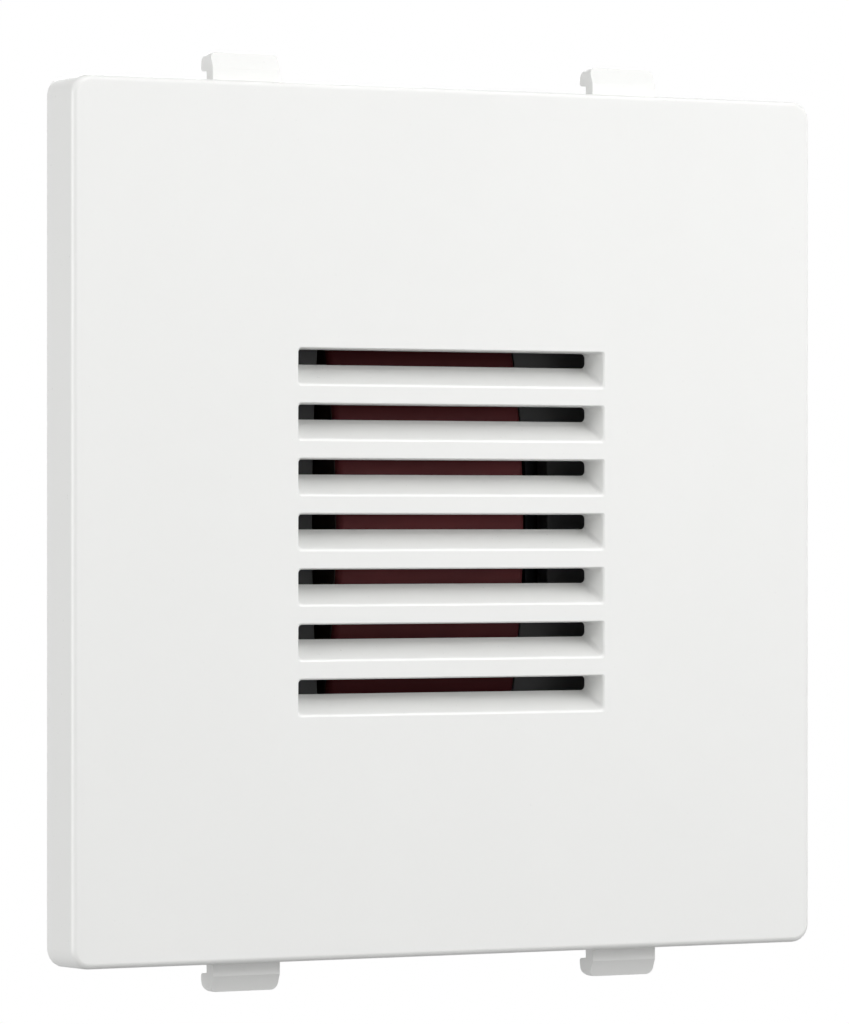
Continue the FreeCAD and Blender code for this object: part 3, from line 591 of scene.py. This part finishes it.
    def copy(self, by: Point = (0, 0, 0), factors: Point = (1, 1, 1)) -> Self:
        """Repeat this workpiece with a mesh of its own.

        Args:
            by: How far the copy is moved.
            factors: Stretch about the middle of the row frame; -1 mirrors the copy.

        Returns:
            The copy.
        """
        self.activate()
        bpy.ops.object.duplicate()
        bpy.context.object.scale = factors
        bpy.context.object.location = by
        twin = type(self)()
        if math.prod(factors) < 0:
            twin.tidy()
        return twin

    def tidy(self, closest: float = TINY) -> Self:
        """Merge points that lie close together and turn every face outwards.

        Args:
            closest: Points that lie closer than this become one.

        Returns:
            The workpiece.
        """
        self.everything().edit(bpy.ops.mesh.remove_doubles, threshold=closest)
        return self.edit(bpy.ops.mesh.normals_make_consistent, inside=False)

    def finish(self, name: str, body: str, finish: Finish, *nodes: str,
               smooth: float = 30.0) -> bpy.types.Object:
        """Put the piece in metres, smooth it, dress it and mount it.

        Args:
            name: Name of the piece.
            body: Body that it moves with.
            finish: Its finish.
            nodes: Construction nodes that it stands for.
            smooth: Faces that meet at less than this angle shade as one, in degrees.

        Returns:
            The finished piece.
        """
        self.activate()
        self.object.scale = (MM, MM, MM)
        bpy.ops.object.transform_apply(location=True, rotation=True, scale=True)
        bpy.ops.object.shade_smooth_by_angle(angle=math.radians(smooth), keep_sharp_edges=False)
        self.modify("WEIGHTED_NORMAL", keep_sharp=True)
        self.object.name = self.object.data.name = name
        self.object.data.materials.clear()
        self.object.data.materials.append(finish.material())
        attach(self.object, body)
        if nodes:
            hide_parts(*nodes)
        LOG.info("built %s in %s: %d faces", name, finish.name, len(self.object.data.polygons))
        return self.object


def span(node: str) -> tuple[Vector, Vector]:
    """Lowest and highest corner of a construction node, in the bench's millimetres."""
    low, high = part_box(node)
    return low / MM, high / MM


def centre(node: str) -> Vector:
    """Middle of a construction node, in the bench's millimetres."""
    low, high = span(node)
    return (low + high) / 2


@dataclass
class Cover:
    """White moulded cover: slab with its grille, claws, skirt and ribs, in millimetres.

    A root is how deep a piece starts inside the wall that carries it, and a skin keeps two faces
    apart that would else lie in one plane.
    """

    face: float = 45.0
    rim_depth: float = 2.7
    face_wall: float = 1.85
    rim_wall: float = 1.2
    corner_radius: float = 1.0
    edge_radius: float = 0.3
    inner_radius: float = 0.35

    slot_count: int = 7
    slot_pitch: float = 2.83
    slot_width: float = 18.6
    mouth_above: float = 0.4
    mouth_below: float = 1.45
    hole_height: float = 0.77
    slot_corner_radius: float = 0.24
    slot_lip: float = 0.2
    slot_margin: float = 0.3
    hole_run: float = 0.4

    claw_spacing: float = 23.1
    claw_width: float = 3.97
    claw_height: float = 1.52
    claw_setback: float = 1.5
    claw_neck: float = 0.68
    claw_reach: float = 1.25
    claw_notch: float = 0.54
    claw_lean: float = 0.32
    claw_lean_height: float = 0.82
    claw_relief: float = 0.04
    claw_hook_radius: float = 0.2
    claw_easing: float = 0.09
    claw_nose_radius: float = 0.72
    claw_tip_radius: float = 0.35

    skirt_clearance: float = 0.15
    skirt_wall: float = 1.1
    skirt_depth: float = 5.2
    skirt_corner_radius: float = 2.75
    skirt_easing: float = 0.15
    ledge_width: float = 0.8
    snap_length: float = 5.4
    snap_width: float = 1.7
    snap_band: float = 1.1
    snap_pitch: float = 17.0
    wire_notch_radius: float = 1.8
    wire_notch_depth: float = 4.7

    rib_thickness: float = 0.8
    rib_pitch: float = 11.5
    rib_easing: float = 0.15
    root: float = 0.4
    skin: float = 0.03

    @property
    def front(self) -> float:
        """Depth of the face."""
        return -self.rim_depth

    @property
    def wall_back(self) -> float:
        """Depth of the inner side of the face wall."""
        return self.front + self.face_wall

    @property
    def skirt_back(self) -> float:
        """Depth where the skirt ends."""
        return self.wall_back + self.skirt_depth

    def slab(self) -> Workpiece:
        """Face and rim: a slab hollowed from behind, with its edges eased.

        Returns:
            The slab.
        """
        half = self.face / 2
        inner = half - self.rim_wall
        slab = Workpiece.block((-half, self.front, -half), (half, 0, half))
        slab.faces(lambda at, facing: facing.y > FACING)
        slab.inset(self.rim_wall).extrude((0, self.wall_back, 0))
        slab.edges(lambda a, b: along(a, b, 1) and abs(a.x) > inner + TINY)
        slab.bevel(self.corner_radius, steps=8)
        slab.rim(lambda at: near(at.y, self.front)).bevel(self.edge_radius, steps=5)
        slab.edges(lambda a, b: along(a, b, 1) and abs(a.x) < inner + TINY and abs(a.z) < inner + TINY)
        slab.bevel(self.inner_radius, steps=5)
        return slab.rim(lambda at: near(at.y, self.wall_back)).bevel(self.inner_radius / 2, steps=3)

    def slot(self) -> Workpiece:
        """Tool for one grille slot at mid height: lipped mouth, sloped walls and a flat hole.

        Returns:
            The tool, which widens to a plate in front of the face so that its lips can be rounded.
        """
        plane = self.front - self.skin / 2
        margin = self.slot_margin
        half = self.slot_width / 2
        slot = Workpiece.block((-half - margin, plane - SPARE, -self.mouth_below - margin),
                               (half + margin, plane, self.mouth_above + margin))
        slot.faces(lambda at, facing: facing.y > FACING)
        slot.inset(margin).extrude((0, self.face_wall + self.skin / 2, 0))
        grown = self.hole_height / (self.mouth_above + self.mouth_below)
        pivot = (self.hole_height / 2 - grown * self.mouth_above) / (1 - grown)
        slot.resize((1, 1, grown), (0, 0, pivot)).extrude((0, self.hole_run, 0))
        slot.edges(lambda a, b: min(a.y, b.y) > plane - TINY and not near(a.y, b.y))
        slot.bevel(self.slot_corner_radius, steps=5)
        slot.rim(lambda at: near(at.y, plane) and abs(at.x) < half + TINY
                 and -self.mouth_below - TINY < at.z < self.mouth_above + TINY)
        return slot.bevel(self.slot_lip, steps=5)

    def claw(self, x: float) -> Workpiece:
        """One frame claw on the top of the rim, with its hook towards the back.

        Args:
            x: Middle of the claw.

        Returns:
            The claw, rooted in the rim.
        """
        base = self.face / 2
        top = base + self.claw_height
        hook = base + self.claw_notch
        front = self.front + self.claw_setback
        neck = front + self.claw_neck
        nose = front + self.claw_reach
        half = self.claw_width / 2
        claw = Workpiece.block((x - half - SPARE, front, base - self.root),
                               (x + half + SPARE, neck, top))
        claw.slice((x, front, hook), (0, 0, 1)).slice((x, front, top - self.claw_lean_height), (0, 0, 1))
        claw.faces(lambda at, facing: facing.y > FACING and at.z > hook).extrude((0, nose - neck, 0))
        claw.verts(lambda at: near(at.y, nose) and near(at.z, hook)).move((0, 0, self.claw_relief))
        claw.verts(lambda at: near(at.y, front) and near(at.z, top)).move((0, self.claw_lean, 0))
        claw.rim(lambda at: near(at.y, nose) and near(at.z, top)).bevel(self.claw_nose_radius, steps=10)
        claw.rim(lambda at: near(at.y, nose) and near(at.z, hook + self.claw_relief))
        claw.bevel(self.claw_hook_radius, steps=4)
        blank = Workpiece.block((x - half, front - SPARE, base - SPARE), (x + half, nose + SPARE, top))
        blank.edges(lambda a, b: along(a, b, 1) and near(a.z, top)).bevel(self.claw_tip_radius, steps=6)
        return claw.trim(blank).modify("BEVEL", width=self.claw_easing, segments=2,
                                       limit_method="ANGLE", angle_limit=SHARP)

    def skirt(self) -> Workpiece:
        """Wall behind the face that holds the mechanism case, as a cup rooted in the face.

        Returns:
            The skirt with its snap windows and wire notches.
        """
        low, high = span("mechanism_plate")
        reach = self.skirt_clearance + self.skirt_wall
        skirt = Workpiece.block((low.x - reach, self.wall_back - self.root, low.z - reach),
                                (high.x + reach, self.skirt_back, high.z + reach))
        skirt.edges(lambda a, b: along(a, b, 1)).bevel(self.skirt_corner_radius, steps=10)
        skirt.faces(lambda at, facing: facing.y > FACING)
        skirt.inset(self.skirt_wall).extrude((0, low.y - self.skirt_back, 0))
        skirt.inset(self.ledge_width).extrude((0, self.wall_back + self.skin - low.y, 0))
        skirt.rim(lambda at: near(at.y, self.skirt_back)).bevel(self.skirt_easing, steps=2)
        snap_back = self.skirt_back - self.snap_band
        window = Workpiece.block((low.x - 2 * reach, snap_back - self.snap_width, -self.snap_length / 2),
                                 (high.x + 2 * reach, snap_back, self.snap_length / 2))
        window.shift((0, 0, centre("mechanism_plate").z - self.snap_pitch / 2))
        y = self.wire_notch_depth
        notches = [Workpiece.rod(self.wire_notch_radius, (x, y, low.z - 2 * reach), (x, y, low.z))
                   for x in (centre(f"terminal_screw_{side.word}").x for side in Side)]
        return skirt.cut(window, window.copy((0, 0, self.snap_pitch)), *notches)

    def rib(self, low: tuple[float, float], high: tuple[float, float]) -> Workpiece:
        """One rib with its free edges eased.

        Args:
            low: Lowest corner, as X and Z.
            high: Highest corner, as X and Z.

        Returns:
            The rib, rooted in the face.
        """
        free = -self.skin
        rib = Workpiece.block((low[0], self.wall_back - self.root, low[1]), (high[0], free, high[1]))
        return rib.rim(lambda at: near(at.y, free)).bevel(self.rib_easing, steps=2)

    def ribs(self) -> list[Workpiece]:
        """Stiffening ribs between the skirt and the rim: three on each side, two above and below.

        Returns:
            The ribs.
        """
        low, high = span("mechanism_plate")
        reach = self.skirt_clearance + self.skirt_wall / 2
        edge = (self.face - self.rim_wall) / 2
        half = self.rib_thickness / 2
        middle = centre("mechanism_plate").z
        side = self.rib((high.x + reach, middle - half), (edge, middle + half))
        sides = [side, side.copy((0, 0, self.rib_pitch)), side.copy((0, 0, -self.rib_pitch))]
        x = self.rib_pitch / 2
        upper = self.rib((x - half, high.z + reach), (x + half, edge))
        lower = self.rib((x - half, -edge), (x + half, low.z - reach))
        right = [*sides, upper, lower]
        return right + [rib.copy(factors=(-1, 1, 1)) for rib in right]

    def grille(self) -> Workpiece:
        """Tool for all the slots.

        Returns:
            The tool, with the slots apart in one mesh.
        """
        slot = self.slot()
        first = -(self.slot_count - 1) / 2 * self.slot_pitch
        rows = [slot.copy((0, 0, first + row * self.slot_pitch)) for row in range(1, self.slot_count)]
        return slot.shift((0, 0, first)).gather(*rows)

    def build(self) -> None:
        """Mould the cover in one piece."""
        claw = self.claw(self.claw_spacing / 2)
        claws = [claw.copy(factors=factors) for factors in ((-1, 1, 1), (1, 1, -1), (-1, 1, -1))]
        ribs = self.ribs()
        cover = self.slab()
        cover.join(self.skirt(), ribs[0].gather(*ribs[1:]), claw.gather(*claws))
        cover.cut(self.grille())
        cover.finish("cover_shell", "housing", COVER_WHITE, "front_cover", smooth=20)


@dataclass
class Plate:
    """Dark plate over the case: bowed opening with a notch, screw holes and a fine arris.

    The bows are the radii of the opening's left and right side.
    """

    corner_radius: float = 1.5
    opening_width: float = 13.0
    opening_height: float = 20.8
    opening_corner: float = 0.8
    bows: tuple[float, float] = (125.0, 55.0)
    notch_reach: float = 7.95
    notch_height: float = 8.4
    hole_radius: float = 0.8
    arris: float = 0.08

    def opening(self, front: float, back: float) -> Workpiece:
        """Tool for the opening.

        Args:
            front: Depth where the tool starts.
            back: Depth where it ends.

        Returns:
            The tool.
        """
        half_x = self.opening_width / 2
        half_z = self.opening_height / 2
        opening = Workpiece.block((-half_x, front, -half_z), (half_x, back, half_z))
        for side, radius in zip(Side, self.bows):
            x = side.value * (half_x - radius)
            opening.trim(Workpiece.rod(radius, (x, front - SPARE, 0), (x, back + SPARE, 0), sides=1440))
        opening.edges(lambda a, b: along(a, b, 1)).bevel(self.opening_corner, steps=6)
        notch = Workpiece.block((0, front, -self.notch_height / 2),
                                (self.notch_reach, back, self.notch_height / 2))
        return opening.join(notch)

    def build(self) -> None:
        """Cut the plate."""
        low, high = span("mechanism_plate")
        plate = Workpiece.block(low, high)
        plate.edges(lambda a, b: along(a, b, 1)).bevel(self.corner_radius, steps=8)
        front, back = low.y - SPARE, high.y + SPARE
        holes = [Workpiece.rod(self.hole_radius, (at.x, front, at.z), (at.x, back, at.z), sides=32)
                 for at in Screws.plate_places()]
        plate.cut(self.opening(front, back), *holes)
        plate.rim(lambda at: near(at.y, low.y)).bevel(self.arris, steps=3)
        plate.finish("case_plate", "housing", CASE_GREY, "mechanism_plate")


@dataclass
class Coil:
    """Bowed coil: ridged winding and the tape round it.

    A valley is how far the winding is drawn in between two turns, as a share of its thickness.
    """

    side_bow: float = 34.6
    end_bow: float = 14.0
    corner_radius: float = 1.3
    wrap: float = 0.25
    wrap_edge: float = 0.4
    edge_steps: int = 5
    winding_inset: float = 0.58
    turns: int = 24
    valley: float = 0.985
    tube_depth: float = 4.0
    tube_height: float = 11.6

    def blank(self, inset: float, half_width: float) -> Workpiece:
        """Bowed body with round corners.

        Args:
            inset: How far it is drawn in from the outside of the tape.
            half_width: Half of its width.

        Returns:
            The body.
        """
        corners = span("coil_wrap")
        middle = centre("coil_wrap").y
        low, high, top = corners[0].y + inset, corners[1].y - inset, corners[1].z - inset
        blank = Workpiece.block((-half_width, low, -top), (half_width, high, top))
        side_bow, end_bow = self.side_bow - inset, self.end_bow - inset
        reach = half_width + SPARE
        for y in (low + side_bow, high - side_bow):
            blank.trim(Workpiece.rod(side_bow, (-reach, y, 0), (reach, y, 0), sides=360))
        for z in (end_bow - top, top - end_bow):
            blank.trim(Workpiece.rod(end_bow, (-reach, middle, z), (reach, middle, z), sides=180))
        blank.edges(lambda a, b: along(a, b, 0))
        return blank.bevel(self.corner_radius - inset, steps=6)

    def outside(self) -> Workpiece:
        """Outer form of the tape, rounded towards both ends.

        Returns:
            The form.
        """
        low, high = span("coil_wrap")
        half = (high - low) / 2
        wrap = self.blank(0, half.x - self.wrap_edge)
        for side in Side:
            wrap.faces(lambda at, facing: facing.x * side.value > FACING)
            for step in range(self.edge_steps):
                before, after = (math.pi / 2 * count / self.edge_steps for count in (step, step + 1))
                out = self.wrap_edge * (math.sin(after) - math.sin(before))
                drawn = self.wrap_edge * (math.cos(before) - math.cos(after))
                wrap.extrude((side.value * out, 0, 0))
                wrap.resize((1, 1 - drawn / half.y, 1 - drawn / half.z), centre("coil_wrap"))
        return wrap

    def build_tape(self) -> None:
        """Wrap the tape."""
        wrap = self.outside()
        wrap.cut(self.blank(self.wrap, span("coil_wrap")[1].x + SPARE))
        wrap.finish("coil_tape", "housing", WRAP_RED, "coil_wrap")

    def build_turns(self) -> None:
        """Wind the wire: ridges round a blank, with the bobbin's tube left free."""
        low, high = span("coil_winding")
        middle = centre("coil_winding").y
        winding = self.blank(self.winding_inset, high.x)
        winding.pick("edges", lambda edge: along(*(vertex.co for vertex in edge.verts), 0))
        winding.edit(bpy.ops.mesh.subdivide, number_cuts=2 * self.turns - 1)
        pitch = (high.x - low.x) / self.turns
        winding.verts(lambda at: near(math.modf((at.x - low.x) / pitch + TINY)[0], 0.5 + TINY))
        winding.resize((1, self.valley, self.valley), (0, middle, 0))
        deep, tall = self.tube_depth / 2, self.tube_height / 2
        winding.cut(Workpiece.block((low.x - SPARE, middle - deep, -tall),
                                    (high.x + SPARE, middle + deep, tall)))
        winding.finish("coil_turns", "housing", COPPER, "coil_winding")

    def build(self) -> None:
        """Wrap and wind the coil."""
        self.build_tape()
        self.build_turns()


class Drive(Enum):
    """Recess of a screw's head, with the number of its blades."""

    SLOT = 1
    CROSS = 2


@dataclass(frozen=True)
class Screw:
    """Machine screw, made with its tip at the bench's origin and its head up the Y axis.

    The recess has a width, a depth and a reach. The thread's depth and the point are shares of
    the pitch, and the play keeps the thread off the tool that trims it and off the neck.
    """

    radius: float
    length: float
    pitch: float
    head_radius: float
    head_height: float
    drive: Drive
    recess: Point
    thread_length: float
    head_edge: float = 0.18
    steps: int = 28
    thread_depth: float = 0.55
    point: float = 0.6
    play: float = 0.01

    @property
    def core(self) -> float:
        """Radius at the bottom of the thread."""
        return self.radius - self.thread_depth * self.pitch

    def thread(self) -> Workpiece:
        """Rod with a right-handed thread cut in it, eased at its tip.

        Returns:
            The rod, wound from a wedge that starts and ends past it and is cut to length.
        """
        before, after = 1.5, 3
        bpy.ops.object.select_all(action="DESELECT")
        bpy.ops.mesh.primitive_circle_add(vertices=4, radius=self.pitch / 2,
                                          location=(self.core, -before * self.pitch, 0),
                                          scale=(2 * self.thread_depth, 1, 1))
        thread = Workpiece()
        thread.verts(lambda at: at.x < self.core - TINY).edit(bpy.ops.mesh.delete, type="VERT")
        thread.modify("SCREW", axis="Y", angle=math.tau, screw_offset=self.pitch, steps=self.steps,
                      render_steps=self.steps, iterations=math.ceil(self.thread_length / self.pitch) + after)
        thread.tidy()
        for y, behind in ((0, True), (self.thread_length, False)):
            thread.everything().edit(bpy.ops.mesh.bisect, plane_co=(0, y, 0), plane_no=(0, 1, 0),
                                     use_fill=True, clear_inner=behind, clear_outer=not behind)
        thread.tidy()
        envelope = Workpiece.rod(self.radius + self.play, (0, -TINY, 0), (0, self.length, 0))
        envelope.rim(lambda at: at.y < 0).bevel(self.point * self.pitch)
        return thread.trim(envelope)

    def head(self) -> Workpiece:
        """Head with its recess, on a short neck.

        Returns:
            The head.
        """
        top = self.length + self.head_height
        head = Workpiece.rod(self.head_radius, (0, self.length, 0), (0, top, 0))
        head.rim(lambda at: near(at.y, top)).bevel(self.head_edge, steps=3)
        neck = Workpiece.rod(self.radius - self.play, (0, self.thread_length - OVERLAP, 0),
                             (0, self.length + OVERLAP, 0))
        width, depth, reach = self.recess
        blade = Workpiece.block((-reach, top - depth, -width / 2), (reach, top + SPARE, width / 2))
        head.join(neck).cut(blade)
        if self.drive is Drive.CROSS:
            head.cut(Workpiece.block((-width / 2, top - depth, -reach), (width / 2, top + SPARE, reach)))
        return head

    def build(self) -> Workpiece:
        """Make the whole screw."""
        return self.head().join(self.thread())


@dataclass(frozen=True)
class Screws:
    """All screws of the module. Where it can, a screw takes its length from the construction."""

    plate: Screw = Screw(radius=0.8, length=5.0, pitch=0.6, head_radius=1.3, head_height=0.8,
                         drive=Drive.CROSS, recess=(0.4, 0.45, 0.8), thread_length=4.0, head_edge=0.3)
    yoke: Screw = Screw(radius=1.2, length=3.0, pitch=0.45, head_radius=2.1, head_height=1.1,
                        drive=Drive.CROSS, recess=(0.6, 0.7, 1.3), thread_length=1.8)
    terminal: Screw = Screw(radius=1.45, length=4.0, pitch=0.5, head_radius=2.1, head_height=2.2,
                            drive=Drive.SLOT, recess=(0.6, 0.8, 3.0), thread_length=3.0)
    terminal_neck: float = 0.4

    @classmethod
    def plate_places(cls) -> list[Vector]:
        """Middles of the plate screws.

        Returns:
            The place low on the left, and the one high on the right.
        """
        low, high = span("plate_screws")
        radius = cls.plate.head_radius
        return [Vector((low.x + radius, high.y, low.z + radius)),
                Vector((high.x - radius, high.y, high.z - radius))]

    def build_plate_screws(self) -> None:
        """Cut the two plate screws, with their heads to the front."""
        turned = (1, -1, -1)
        screw = self.plate.build()
        first, second = self.plate_places()
        pair = screw.copy(first, turned).gather(screw.copy(second, turned))
        bpy.data.objects.remove(screw.object)
        pair.finish("plate_screw_pair", "housing", ZINC_STEEL, "plate_screws")

    def build_yoke_screws(self) -> None:
        """Cut the two yoke screws."""
        low, high = span("yoke_screws")
        screw = replace(self.yoke, length=high.y - low.y - self.yoke.head_height).build()
        radius = self.yoke.head_radius
        pair = screw.copy((low.x + radius, low.y, 0)).gather(screw.copy((high.x - radius, low.y, 0)))
        bpy.data.objects.remove(screw.object)
        pair.finish("yoke_screw_pair", "housing", ZINC_STEEL, "yoke_screws")

    def build_clamp_screws(self) -> None:
        """Cut the clamp screw of each terminal."""
        low, high = span("terminal_screw_left")
        length = high.y - low.y - self.terminal.head_height
        screw = replace(self.terminal, length=length, thread_length=length - self.terminal_neck).build()
        for side in Side:
            node = f"terminal_screw_{side.word}"
            at = centre(node)
            twin = screw.copy((at.x, low.y, at.z))
            twin.finish(f"clamp_screw_{side.word}", f"screw_{side.word}", ZINC_STEEL, node)
        bpy.data.objects.remove(screw.object)

    def build(self) -> None:
        """Cut the screws and put them in their places."""
        self.build_plate_screws()
        self.build_yoke_screws()
        self.build_clamp_screws()


@dataclass
class Hinge:
    """Small round pieces of the armature: its pin and the spring's two rivets."""

    pin_radius: float = 0.5
    pin_edge: float = 0.12
    shank_radius: float = 0.5
    head_radius: float = 0.9
    head_height: float = 0.4
    dome: float = 0.32

    def build_pin(self) -> None:
        """Turn the pin."""
        low, high = span("armature_pin")
        x, y = centre("armature_pin").xy
        pin = Workpiece.rod(self.pin_radius, (x, y, low.z), (x, y, high.z), sides=32)
        pin.rim(lambda at: near(abs(at.z), high.z)).bevel(self.pin_edge, steps=2)
        pin.finish("hinge_pin", "housing", SPRING_STEEL, "armature_pin")

    def build_rivets(self) -> None:
        """Set the rivets, with their domes up the X axis."""
        low, high = span("spring_rivets")
        seat = high.x - self.head_height
        y = low.y + self.head_radius
        rivet = Workpiece.rod(self.head_radius, (seat, y, 0), (high.x, y, 0), sides=40)
        rivet.rim(lambda at: near(at.x, high.x)).bevel(self.dome, steps=6)
        rivet.join(Workpiece.rod(self.shank_radius, (low.x, y, 0), (seat + OVERLAP, y, 0), sides=32))
        rivet.gather(rivet.copy((0, high.y - low.y - 2 * self.head_radius, 0)))
        rivet.finish("rivet_pair", "armature", TERMINAL_BRASS, "spring_rivets")

    def build(self) -> None:
        """Make the pin and the rivets."""
        self.build_pin()
        self.build_rivets()


@dataclass(frozen=True)
class SoftLamp:
    """A square soft box aimed at the middle of the object.

    The level is how bright a white surface that faces the lamp gets, where 1 is white.
    """

    name: str
    towards: Point
    distance: float
    width: float
    level: float

    def build(self) -> None:
        """Hang the lamp."""
        data = bpy.data.lights.new(self.name, "AREA")
        data.shape = "SQUARE"
        data.size = self.width
        data.energy = self.level * (math.pi * self.distance) ** 2
        lamp = bpy.data.objects.new(self.name, data)
        away = Vector(self.towards).normalized()
        lamp.location = away * self.distance
        lamp.rotation_mode = "QUATERNION"
        lamp.rotation_quaternion = (-away).to_track_quat("-Z", "Y")
        lamp.visible_camera = False
        bpy.context.scene.collection.objects.link(lamp)


@dataclass
class Studio:
    """White surroundings, soft lamps and the camera at the photograph's place."""

    azimuth: float = -31.86
    distance: float = 0.3546
    lens: float = 240.2
    shift: tuple[float, float] = (-0.0285, 0.0098)
    fill: float = 0.1
    floor_drop: float = 0.09
    floor_size: float = 1.2
    floor_colour: Colour = (0.36, 0.36, 0.36)
    floor_glow: Colour = (0.62, 0.62, 0.62)
    lamps: tuple[SoftLamp, ...] = (
        SoftLamp("edge_lamp", (0.53, -0.2, 0.82), 0.25, 0.08, 0.19),
        SoftLamp("high_lamp", (0.15, -0.62, 0.77), 0.4, 0.2, 0.27),
        SoftLamp("middle_lamp", (0.2, -0.85, 0.48), 0.4, 0.2, 0.26),
        SoftLamp("front_lamp", (0.45, -0.88, 0.1), 0.5, 0.25, 0.18),
        SoftLamp("right_lamp", (0.8, -0.55, 0.25), 0.4, 0.2, 0.22),
        SoftLamp("left_lamp", (-0.93, -0.35, 0.1), 0.5, 0.3, 0.21),
        SoftLamp("side_lamp", (-0.99, -0.06, 0.1), 0.5, 0.3, 0.51),
        SoftLamp("back_lamp", (0.3, 0.93, 0.2), 0.8, 0.4, 0.5),
    )

    def build(self) -> None:
        """Set up world, floor, lamps, camera and colour handling."""
        self.build_world()
        self.build_floor()
        for lamp in self.lamps:
            lamp.build()
        self.build_camera()
        bpy.context.scene.view_settings.view_transform = "Standard"

    def build_world(self) -> None:
        """White where it is seen, and an even fill light elsewhere."""
        graph = NodeGraph(bpy.data.worlds.new("white_surroundings"))
        bpy.context.scene.world = graph.owner
        light = graph.add("ShaderNodeBackground", Color=(1, 1, 1, 1), Strength=self.fill)
        white = graph.add("ShaderNodeBackground", Color=(1, 1, 1, 1))
        mix = graph.add("ShaderNodeMixShader")
        graph.link(graph.seen(), mix, 0)
        graph.link(light.outputs[0], mix, 1)
        graph.link(white.outputs[0], mix, 2)
        graph.link(mix.outputs[0], graph.add("ShaderNodeOutputWorld"), "Surface")

    def build_floor(self) -> None:
        """Pale floor below the object, which keeps the object's shadow."""
        graph = NodeGraph(bpy.data.materials.new("pale_floor"))
        matt = graph.add("ShaderNodeBsdfDiffuse", Color=(*self.floor_colour, 1))
        glow = graph.add("ShaderNodeEmission", Color=(*self.floor_glow, 1))
        graph.link(graph.seen(), glow, "Strength")
        both = graph.add("ShaderNodeAddShader")
        graph.link(matt.outputs[0], both, 0)
        graph.link(glow.outputs[0], both, 1)
        graph.link(both.outputs[0], graph.add("ShaderNodeOutputMaterial"), "Surface")
        bpy.ops.object.select_all(action="DESELECT")
        bpy.ops.mesh.primitive_plane_add(size=self.floor_size, location=(0, 0, -self.floor_drop))
        floor = bpy.context.object
        floor.name = "floor"
        floor.data.materials.append(graph.owner)

    def build_camera(self) -> None:
        """Camera at the photograph's viewing angle, level with the middle of the face."""
        data = bpy.data.cameras.new("camera")
        data.lens = self.lens
        data.shift_x, data.shift_y = self.shift
        data.clip_start = 10 * MM
        turn = math.radians(self.azimuth)
        back = Vector((math.sin(turn), -math.cos(turn), 0))
        face = Vector((0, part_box("front_cover")[0].y, 0))
        camera = bpy.data.objects.new("camera", data)
        camera.location = face + back * self.distance
        camera.rotation_mode = "QUATERNION"
        camera.rotation_quaternion = (-back).to_track_quat("-Z", "Y")
        bpy.context.scene.collection.objects.link(camera)
        bpy.context.scene.camera = camera


NODE_FINISHES: dict[str, Finish] = {
    "mechanism_case": CASE_GREY,
    "coil_bobbin": BOBBIN_BLACK,
    "core_laminations": CORE_IRON,
    "shading_ring": COPPER,
    "yoke": ZINC_STEEL,
    "armature": ZINC_PAINTED_SHADE,
    # The armature's near-black zinc is painted shade.
    "armature_spring": SPRING_STEEL,
    "armature_pad": PAD_RUBBER,
    "terminal_cage_left": ZINC_STEEL,
    "terminal_cage_right": ZINC_STEEL,
    "contact_bar_left": TERMINAL_BRASS,
    "contact_bar_right": TERMINAL_BRASS,
    "coil_lead_left": TINNED_COPPER,
    "coil_lead_right": TINNED_COPPER,
}


def main() -> None:
    """Build the looks, piece by piece."""
    logging.basicConfig(level=logging.INFO)
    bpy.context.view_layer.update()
    for node, finish in NODE_FINISHES.items():
        dress(node, finish)
    for assembly in (Cover(), Plate(), Coil(), Screws(), Hinge()):
        assembly.build()
    Studio().build()


if __name__ == "__main__":
    main()
